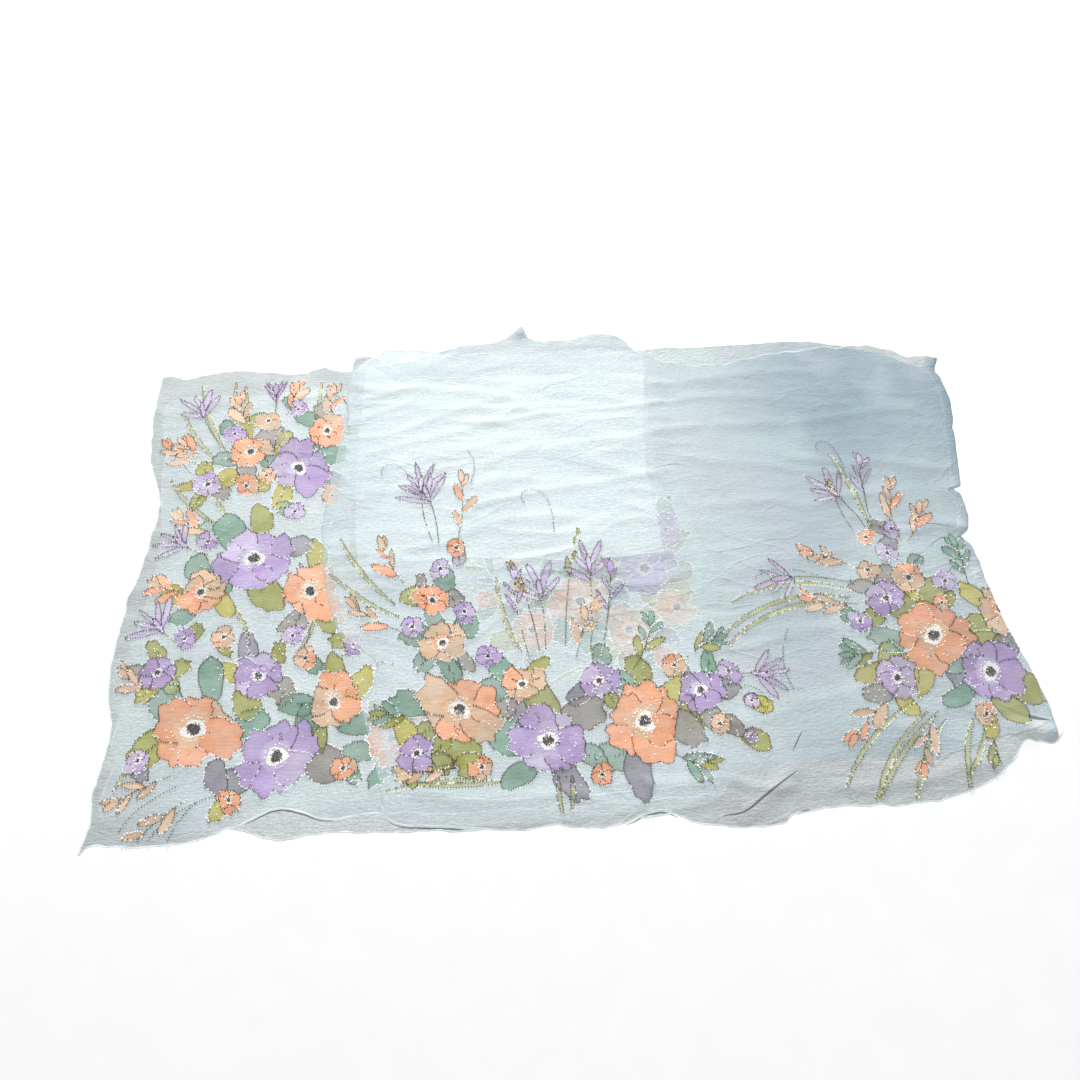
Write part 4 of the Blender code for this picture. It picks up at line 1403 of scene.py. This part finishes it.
# %% Patches and stems of paint
def pigment(rows, points, share, t, seed):
    """Colour and strength at the points of each blot, which lie at this share of the way to the outline
    and this angle t. Colour goes from body to deep with the rim, the foot and drifting streaks. It is
    thinner in drifting clouds and towards the right, and dark along the drawn rim."""
    x, y = points[..., 0], points[..., 1]
    streak = drift(t * 3.0 + rows["x"][:, None], share + rows["y"][:, None], 0.5, 0.9, seed + 3)
    cloud = drift(x, y, 9, 9, seed + 4)
    pooled = 0.55 * ease((share - 1 + RIM_SHARE) / RIM_SHARE) + 0.45 * ease(-np.cos(t) * share)
    pooled = np.clip(pooled + 0.30 * streak * share + 0.35 * cloud, 0, 1)[..., None]
    pot = rows["paint"].astype(int)
    colours = BODY[pot][:, None] * (1 - pooled) + DEEP[pot][:, None] * pooled
    pale = 0.08 + 0.16 * drift(x, y, 14, 14, seed + 6)
    pale = (np.clip(pale, 0, 0.3) + 0.10 * ease((x - 150) / 150))[..., None]
    colours = colours * (1 - pale) + (0.3 * DULLED + 1.1 * colours) * pale
    shade = 1 + 0.16 * np.random.default_rng(seed + 8).uniform(-1, 1, (len(rows), 1, 1))
    shade = shade - 0.14 * ease((rows["x"] - 150) / 150)[:, None, None]
    colours = colours * shade
    drawn = (0.6 * (share > 0.98) * (rows["beads"][:, None] > 0))[..., None]
    colours = colours * (1 - drawn) + OUTLINE * drawn
    return colours, 0.90 + 0.09 * pooled[..., 0] - 0.25 * pale[..., 0]


def disc_faces(count, spokes, rings):
    """Faces of so many round patches: bands from ring to ring, and a fan about each middle."""
    first = np.arange(count)[:, None, None] * (rings * spokes + 1)
    k = np.arange(spokes)
    after = (k + 1) % spokes
    fan = np.stack([np.zeros(spokes, int), 1 + k, 1 + after], -1)[None] + first
    inner = 1 + np.arange(rings - 1)[:, None] * spokes
    corners = (inner + k, inner + spokes + k, inner + spokes + after, inner + after)
    return (np.stack(corners, -1).reshape(1, -1, 4) + first).reshape(-1, 4), fan.reshape(-1, 3)


def paint_blots(rows, raster, spokes, rings, seed):
    """Patches for all blots: rings at shares of the outline round each middle, closer to each other
    near the rim."""
    ring = np.append(np.linspace(0, 0.93, rings)[1:] ** 0.8, 1.0)
    edge = outlines(rows, spokes, seed)
    middle = np.stack([rows["x"], rows["y"]], -1)[:, None]
    points = middle[:, None] + ring[None, :, None, None] * (edge - middle)[:, None]
    points = np.concatenate([middle, points.reshape(len(rows), -1, 2)], 1)
    share = np.concatenate([[0], np.repeat(ring, spokes)])[None]
    t = np.concatenate([[0], np.tile(np.linspace(0, 2 * np.pi, spokes, endpoint=False), rings)])[None]
    lift = PAINT_LIFT + LEVEL_STEP * (rows["level"][:, None] - LOWEST_LEVEL)
    verts = onto_cloth(points[..., 0], points[..., 1], raster, lift).reshape(-1, 3)
    colours, strength = pigment(rows, points, share, t, seed)
    return verts, *disc_faces(len(rows), spokes, rings), colours.reshape(-1, 3), strength.ravel()


def paint_stems(stems, raster, seed):
    """Thin strips of paint: three points across each stem, set apart by its width."""
    verts, faces, colours, strength, offset = [], [], [], [], 0
    for order, (path, widths) in enumerate(stems):
        side = normals(path)[:, None] * np.array([-0.5, 0, 0.5])[None, :, None]
        points = path[:, None] + side * widths[:, None, None]
        verts.append(onto_cloth(points[..., 0], points[..., 1], raster, PAINT_LIFT).reshape(-1, 3))
        faces.append(grid_faces(len(path), 3)[:, ::-1] + offset)
        pot = POTS.index("straw" if widths.max() > 2 else ("olive", "sage", "straw")[order % 3])
        share = (0.5 + 0.5 * drift(points[..., 0], points[..., 1], 12, 12, seed)).reshape(-1, 1)
        colours.append(BODY[pot] * (1 - share) + DEEP[pot] * share)
        strength.append(np.full(len(share), STEM_STRENGTH))
        offset += points.shape[0] * 3
    return np.vstack(verts), np.vstack(faces), np.vstack(colours), np.concatenate(strength)


# %% [markdown]
# Three painted stretches
#
# Dried paint is matt and leaves the yarn visible. Its shader reads colour and strength from the points
# and adds the yarn, a few blotches and a fine bump. The paint keeps clear of the hems, so a blot that
# would cross one is left out.


# %% Painted stretches
def paint_cloth():
    """Dried paint: colour and strength per point, with the chiffon's yarn still showing through."""
    bench = Bench("dried_paint")
    colour = bench.read("pigment")
    yarn = bench.noise(900, (1, 1, 1), 2, 0.6)
    blotch = bench.ranged(bench.noise(120, (1, 1, 1), 3), 0.3, 0.7)
    colour = bench.blend(blotch * 0.22, colour, (0.93, 0.93, 0.92, 1), "SOFT_LIGHT")
    colour = bench.blend(bench.ranged(yarn, 0.35, 0.7, 0.0, 0.14), colour, (0.86, 0.90, 0.92, 1))
    alpha = bench.read("strength", "Fac") + (yarn - 0.5) * 0.12
    bump = bench.bump(bench.noise(260, (0.5, 1.6, 1), 3), 0.0010, 0.45)
    return bench.finish(Base_Color=colour, Roughness=0.7, Alpha=alpha, Normal=bump)


SMALL = 9.0  # blots shorter than this are made with fewer points
SPOKES, FEW_SPOKES = 34, 16  # points round a blot and round a small one
RINGS, HIDDEN_RINGS, FEW_RINGS = 6, 4, 3  # rings of points in a blot, a hidden one and a small one
HIDDEN_STRENGTH = 0.7  # the hidden stretch's paint against the others'
SHOWN = 8  # a stem or line with no more points than this on its stretch is left out
HEM_MARGIN = 3.0  # paint keeps this clear of a hem
paint_finish = paint_cloth()


def on_stretch(points, raster):
    """True for points on their own stretch, clear of its hem; past the right-hand fold they stay, since
    the cloth goes round it."""
    x, y = points[..., 0], points[..., 1]
    if raster == "top":
        x = np.minimum(x, fold_edge(y) - 2 * HEM_MARGIN)
    return inside(raster, x, y) > HEM_MARGIN


def shown(path, raster):
    """Which points of a stem or line lie on its stretch, or none where they are too few to show."""
    on = on_stretch(path, raster)
    return on & (on.sum() > SHOWN)


def painted(name, raster, seed):
    """One stretch's paint as a piece, and its blots, outlines, stems and eyes for the beads."""
    rows, stems, lines, eyes = PLANTED[raster]
    keep = on_stretch(outlines(rows, 12, seed), raster).all(1)
    if raster == "top":
        keep &= fold_edge(rows["y"]) + 4 > rows["x"]
    rows = rows[keep]
    stems = [(path, widths, shown(path, raster)) for path, widths in stems if widths is not None]
    stems = [(path[on], widths[on]) for path, widths, on in stems if on.any()]
    lines = [(path, dark, shown(path, raster)) for path, dark in lines]
    lines = [(path[on], dark) for path, dark, on in lines if on.any()]
    big, small = rows[rows["long"] >= SMALL], rows[rows["long"] < SMALL]
    parts = [paint_blots(big, raster, SPOKES, HIDDEN_RINGS if raster == "hidden" else RINGS, seed)]
    parts += [paint_blots(small, raster, FEW_SPOKES, FEW_RINGS, seed)]
    stem_verts, stem_faces, stem_colours, stem_strength = paint_stems(stems, raster, seed)
    verts, faces = joined([p[:3] for p in parts] + [(stem_verts, stem_faces)])
    colours = np.vstack([p[3] for p in parts] + [stem_colours])
    strength = np.concatenate([p[4] for p in parts] + [stem_strength])
    strength = strength * (HIDDEN_STRENGTH if raster == "hidden" else 1)
    piece = mesh_piece(name, verts, faces, paint_finish, {"strength": strength}, {"pigment": colours})
    let_light_through(piece)
    shapes = [(big, outlines(big, SPOKES, seed)), (small, outlines(small, FEW_SPOKES, seed))]
    return piece, shapes, lines, eyes


PAINTED = {
    "end": painted("end_paint", "end", 501),
    "top": painted("top_paint", "top", 601),
    "hidden": painted("hidden_paint", "hidden", 701),
}

# %% [markdown]
# Beads
#
# Small beads, not much over 1 mm across, are sewn one by one along every painted outline and stem,
# most of them dark bronze glass and some silver, and a cluster of dark ones fills each flower's eye.
# With so many of them, a bead has ten faces only, which shading makes round at this size. All beads of
# a stretch are one mesh worked out from arrays. A bead under a higher petal is left out.

# %% Beads
BEAD = 0.64  # radius
PITCH = 2.35  # from bead to bead along a large outline
LOOSER = 1.15  # how much further apart they are along small outlines and stems
STEM_LEVEL = -2.5  # the level of beads on stems, below most petals
ALWAYS_ON_TOP = 99.0  # the level of beads that nothing covers
SEED_PITCH = 1.05  # between the dark beads in an eye
GOLDEN_TURN = 2.39996  # radians from seed to seed in a sunflower's head
RING_TURN = 2.4  # radians from one silver bead round an eye to the next
RING_ROOM = 2.4  # one such bead for every so many mm of the flower's radius
MISSING = 0.03  # share of beads that have come off
ROW_CHANCE = 0.6  # share of petals with a row of beads up their middle
STREWN_CHANCE = 0.5  # share of large blots with some beads strewn about
SILVER_ABOVE = 0.34  # a run of beads is silver where a drifting value passes this
BLURRED = 1.4  # beads seen through the top stretch are drawn so much larger
BALL_SIDES = 5  # corners of the ball's ring
WIDER, LOWER = 1.1, 0.9  # the ball's ring and its poles against a true ball


def bead_ball():
    """A bead of unit radius with few faces: a ring of five corners between two poles, closed. It is a
    little wider than it is high, as seed beads are. Smooth shading makes it round."""
    turn = np.arange(BALL_SIDES) * 2 * np.pi / BALL_SIDES
    ring = np.column_stack([WIDER * np.cos(turn), WIDER * np.sin(turn), np.zeros(BALL_SIDES)])
    side = np.arange(BALL_SIDES)
    after = (side + 1) % BALL_SIDES
    above = np.column_stack([side, after, np.full(BALL_SIDES, BALL_SIDES)])
    below = np.column_stack([after, side, np.full(BALL_SIDES, BALL_SIDES + 1)])
    return np.vstack([ring, [(0, 0, LOWER), (0, 0, -LOWER)]]), np.vstack([above, below])


BALL, BALL_FACES = bead_ball()
print("a bead has", len(BALL_FACES), "faces")

# %% [markdown]
# Where beads go
#
# Beads follow the painted lines first. Then they fill the eyes, and some lie in short rows or loose on
# the petals. Dark and silver ones come in runs.


# %% Places of beads
def spaced(path, pitch, closed=False):
    """Points every pitch along a path."""
    if closed:
        path = np.vstack([path, path[:1]])
    length = lengths_along(path)
    return points_at(np.arange(0, length[-1], pitch), length, path)


def covered(points, level, shapes):
    """True where a bead's place lies inside a blot of a higher level: its distance from the blot's
    middle is less than the outline's, at the same angle."""
    hidden = np.zeros(len(points), bool)
    for rows, edges in shapes:
        for row, edge in zip(rows, edges):
            middle = (row["x"], row["y"])
            near = np.hypot(*(points - middle).T) < 1.6 * max(row["long"], row["wide"])
            near &= row["level"] > level + 0.01
            if not near.any():
                continue
            arm, away = edge - middle, points[near] - middle
            angle = np.arctan2(arm[:, 1], arm[:, 0])
            order = np.argsort(angle)
            reach = np.hypot(*arm.T)[order]
            rim = np.interp(np.arctan2(away[:, 1], away[:, 0]), angle[order], reach, period=2 * np.pi)
            hidden[near] |= np.hypot(*away.T) < rim - 0.3
    return hidden


def marked(points, level, dark):
    """Rows of x, y, level and dark for some beads. Dark is 1 where they are dark for certain, -1 where
    they are silver for certain, and 0 where they come in runs of either."""
    return np.column_stack([points, np.full(len(points), level), np.full(len(points), dark)])


def around(x, y, reach, turn):
    """Points at these distances and angles from a middle."""
    return np.column_stack([x + reach * np.cos(turn), y + reach * np.sin(turn)])


def on_edges(shapes, lines):
    """Beads along outlines and stems, evenly spaced."""
    made = []
    for rows, edges in shapes:
        for row, edge in zip(rows, edges):
            if row["beads"] > 0:
                pitch = PITCH * (1.0 if row["long"] > SMALL else LOOSER)
                made.append(marked(spaced(edge, pitch, True), row["level"], float(row["beads"] > 1)))
    for line, all_dark in lines:
        made.append(marked(spaced(line, PITCH * LOOSER), STEM_LEVEL, float(all_dark)))
    return made


def on_petals(shapes, rng):
    """A short row of beads up the middle of some petals, and a few silver ones strewn about others."""
    made = []
    for rows, _ in shapes:
        for row in rows[(rows["frill"] > 0.7) & (rows["long"] > 10)]:
            if rng.uniform() < ROW_CHANCE:
                at = (-0.75 + 0.11 * np.arange(int(rng.integers(4, 13))))[:, None] * row["long"]
                bent = np.array([np.cos(row["turn"]), np.sin(row["turn"])]) * at
                places = (row["x"], row["y"]) + bent + rng.normal(0, 0.8, bent.shape)
                made.append(marked(places, row["level"], 0.0))
    for rows, edges in shapes:
        for row, edge in zip(rows, edges):
            if row["long"] > SMALL and rng.uniform() < STREWN_CHANCE:
                some = edge[rng.integers(0, len(edge), rng.integers(3, 8))] - (row["x"], row["y"])
                places = (row["x"], row["y"]) + some * rng.uniform(0.3, 1.15, (len(some), 1))
                made.append(marked(places, ALWAYS_ON_TOP, -1.0))
    return made


def in_eyes(eyes, rng):
    """In each eye a sunflower spiral of dark beads: distance grows with the root of a bead's number and
    its angle by the golden turn. A loose ring of silver ones lies round it."""
    made = []
    for x, y, radius in eyes:
        count = int((SEEDS * radius / SEED_PITCH) ** 2) + 4
        k = np.arange(count)
        spread = SEEDS * radius * np.sqrt((k + 0.5) / count)
        made.append(marked(around(x, y, spread, k * GOLDEN_TURN), ALWAYS_ON_TOP, 1.0))
        ring = np.arange(int(radius / RING_ROOM)) * RING_TURN + rng.uniform(0, 3)
        wide = 0.27 * radius * (1 + 0.12 * rng.uniform(-1, 1, len(ring)))
        made.append(marked(around(x, y, wide, ring), ALWAYS_ON_TOP, -1.0))
    return made


# %% [markdown]
# Glass and silver
#
# Both kinds are one material with an attribute for silver, so that the beads of a stretch stay one
# piece. The silver ones glow a little, a painted glint, or they would go dark wherever they mirror no lamp.


# %% Bead pieces
def bead_glass():
    """Bronze glass and silver: 'silver' turns the dark glass into bright metal, with a faint glow that is a
    painted glint.
    """
    bench = Bench("seed_beads")
    silver = bench.read("silver", "Fac")
    warm = bench.noise(60, (1, 1, 1), 1)
    dark = bench.blend(bench.ranged(warm, 0.35, 0.65), (0.06, 0.055, 0.05, 1), (0.17, 0.14, 0.09, 1))
    colour = bench.blend(silver, dark, (0.96, 0.97, 0.98, 1))
    # painted glint: the silver beads glow faintly, though they are no lamp
    glint = bench.blend(silver, (0, 0, 0, 1), (1, 1, 1, 1))
    return bench.finish(
        Base_Color=colour, Roughness=0.3, Metallic=0.3 - 0.2 * silver, Coat_Weight=0.3, Emission_Color=glint,
        Emission_Strength=0.3,
    )


bead_finish = bead_glass()


def beaded(name, raster, seed):
    """All beads of one stretch as one mesh: a ball copied to every place. Beads that show through the
    top stretch lie flatter and are silver."""
    rng = np.random.default_rng(seed)
    _, shapes, lines, eyes = PAINTED[raster]
    places = np.vstack(on_edges(shapes, lines) + on_petals(shapes, rng) + in_eyes(eyes, rng))
    points, level, dark = places[:, :2], places[:, 2], places[:, 3]
    keep = ~covered(points, level, shapes) & (rng.uniform(size=len(points)) > MISSING)
    if raster == "top":
        keep &= points[:, 0] < fold_edge(points[:, 1]) + 0.3
    points, dark = points[keep], dark[keep]
    points = points + rng.normal(0, 0.25, points.shape)
    under = raster != "top" and inside("top", points[:, 0], points[:, 1]) > -3
    radius = BEAD * rng.uniform(0.85, 1.12, len(points)) * np.where(under, BLURRED, 1.0)
    lift = PAINT_LIFT + np.where(under, 0.05, 0.35 + radius * 0.6)
    centre = onto_cloth(points[:, 0], points[:, 1], raster, lift)
    runs = drift(np.arange(len(points)), 0, 14, 9, seed + 1) + 0.5 * rng.uniform(-1, 1, len(points))
    silver = (dark <= 0) & ((runs > SILVER_ABOVE) | (dark < 0) | under)
    verts = centre[:, None] + radius[:, None, None] * BALL[None]
    faces = BALL_FACES[None] + np.arange(len(points))[:, None, None] * len(BALL)
    shine = np.repeat(silver.astype(float), len(BALL))
    print(name, len(points), "beads")
    return mesh_piece(name, verts.reshape(-1, 3), faces.reshape(-1, 3), bead_finish, {"silver": shine})


end_beads = beaded("end_beads", "end", 801)
top_beads = beaded("top_beads", "top", 811)
hidden_beads = beaded("hidden_beads", "hidden", 821)

# %% [markdown]
# Light, floor and camera
#
# The photograph is bright and soft, as under a large window. A pale world gives the fill, and one
# broad lamp from behind and above runs across the crinkles, so their crests catch the light.

# %% Stage
EYE = Vector((-0.0495, -0.452, 0.868))
AIM = Vector((-0.027, 0.009, 0.0))
LENS = 31.37  # a field of view of about 60 degrees
SENSOR = 36.0


def lamp(name, place, aim, size, power, colour):
    """A round lamp of this width and power, turned to what it lights."""
    data = bpy.data.lights.new(name, "AREA")
    data.shape, data.size, data.energy, data.color = "DISK", size, power, colour
    made = bpy.data.objects.new(name, data)
    made.location = place
    made.rotation_euler = (Vector(aim) - Vector(place)).to_track_quat("-Z", "Y").to_euler()
    bpy.context.scene.collection.objects.link(made)


lamp("window", (-0.35, 2.4, 1.4), (0, 0, 0), 0.8, 95, (1.0, 0.99, 0.97))
lamp("fill", (0.8, -1.2, 1.9), (0, 0, 0), 1.6, 6, (0.97, 0.98, 1.0))

world = bpy.data.worlds.new("soft_room")
world.use_nodes = True
world.node_tree.nodes["Background"].inputs["Color"].default_value = (0.97, 0.985, 1.0, 1)
world.node_tree.nodes["Background"].inputs["Strength"].default_value = 0.50
bpy.context.scene.world = world
bpy.context.scene.view_settings.view_transform = "Standard"

bench = Bench("pale_floor")
specks = bench.ranged(bench.noise(30, (1, 1, 1), 3), 0.3, 0.7)
pale = bench.blend(specks, (0.96, 0.96, 0.955, 1), (0.98, 0.98, 0.98, 1))
floor_paint = bench.finish(Base_Color=pale, Roughness=0.9, Specular_IOR_Level=0.0)
floor_mesh = bpy.data.meshes.new("floor")
reach = 6.0  # metres from the middle to each side
corners = [(-reach, -reach, 0), (reach, -reach, 0), (reach, reach, 0), (-reach, reach, 0)]
floor_mesh.from_pydata(corners, [], [(0, 1, 2, 3)])
floor_mesh.materials.append(floor_paint)
floor = bpy.data.objects.new("floor", floor_mesh)
bpy.context.scene.collection.objects.link(floor)

camera = bpy.data.objects.new("camera", bpy.data.cameras.new("camera"))
camera.data.lens, camera.data.sensor_width = LENS, SENSOR
camera.data.clip_start = 0.01
camera.location = EYE
camera.rotation_euler = (AIM - EYE).to_track_quat("-Z", "Y").to_euler()
bpy.context.scene.collection.objects.link(camera)
bpy.context.scene.camera = camera
print("camera", round((EYE - AIM).length, 2), "m away")
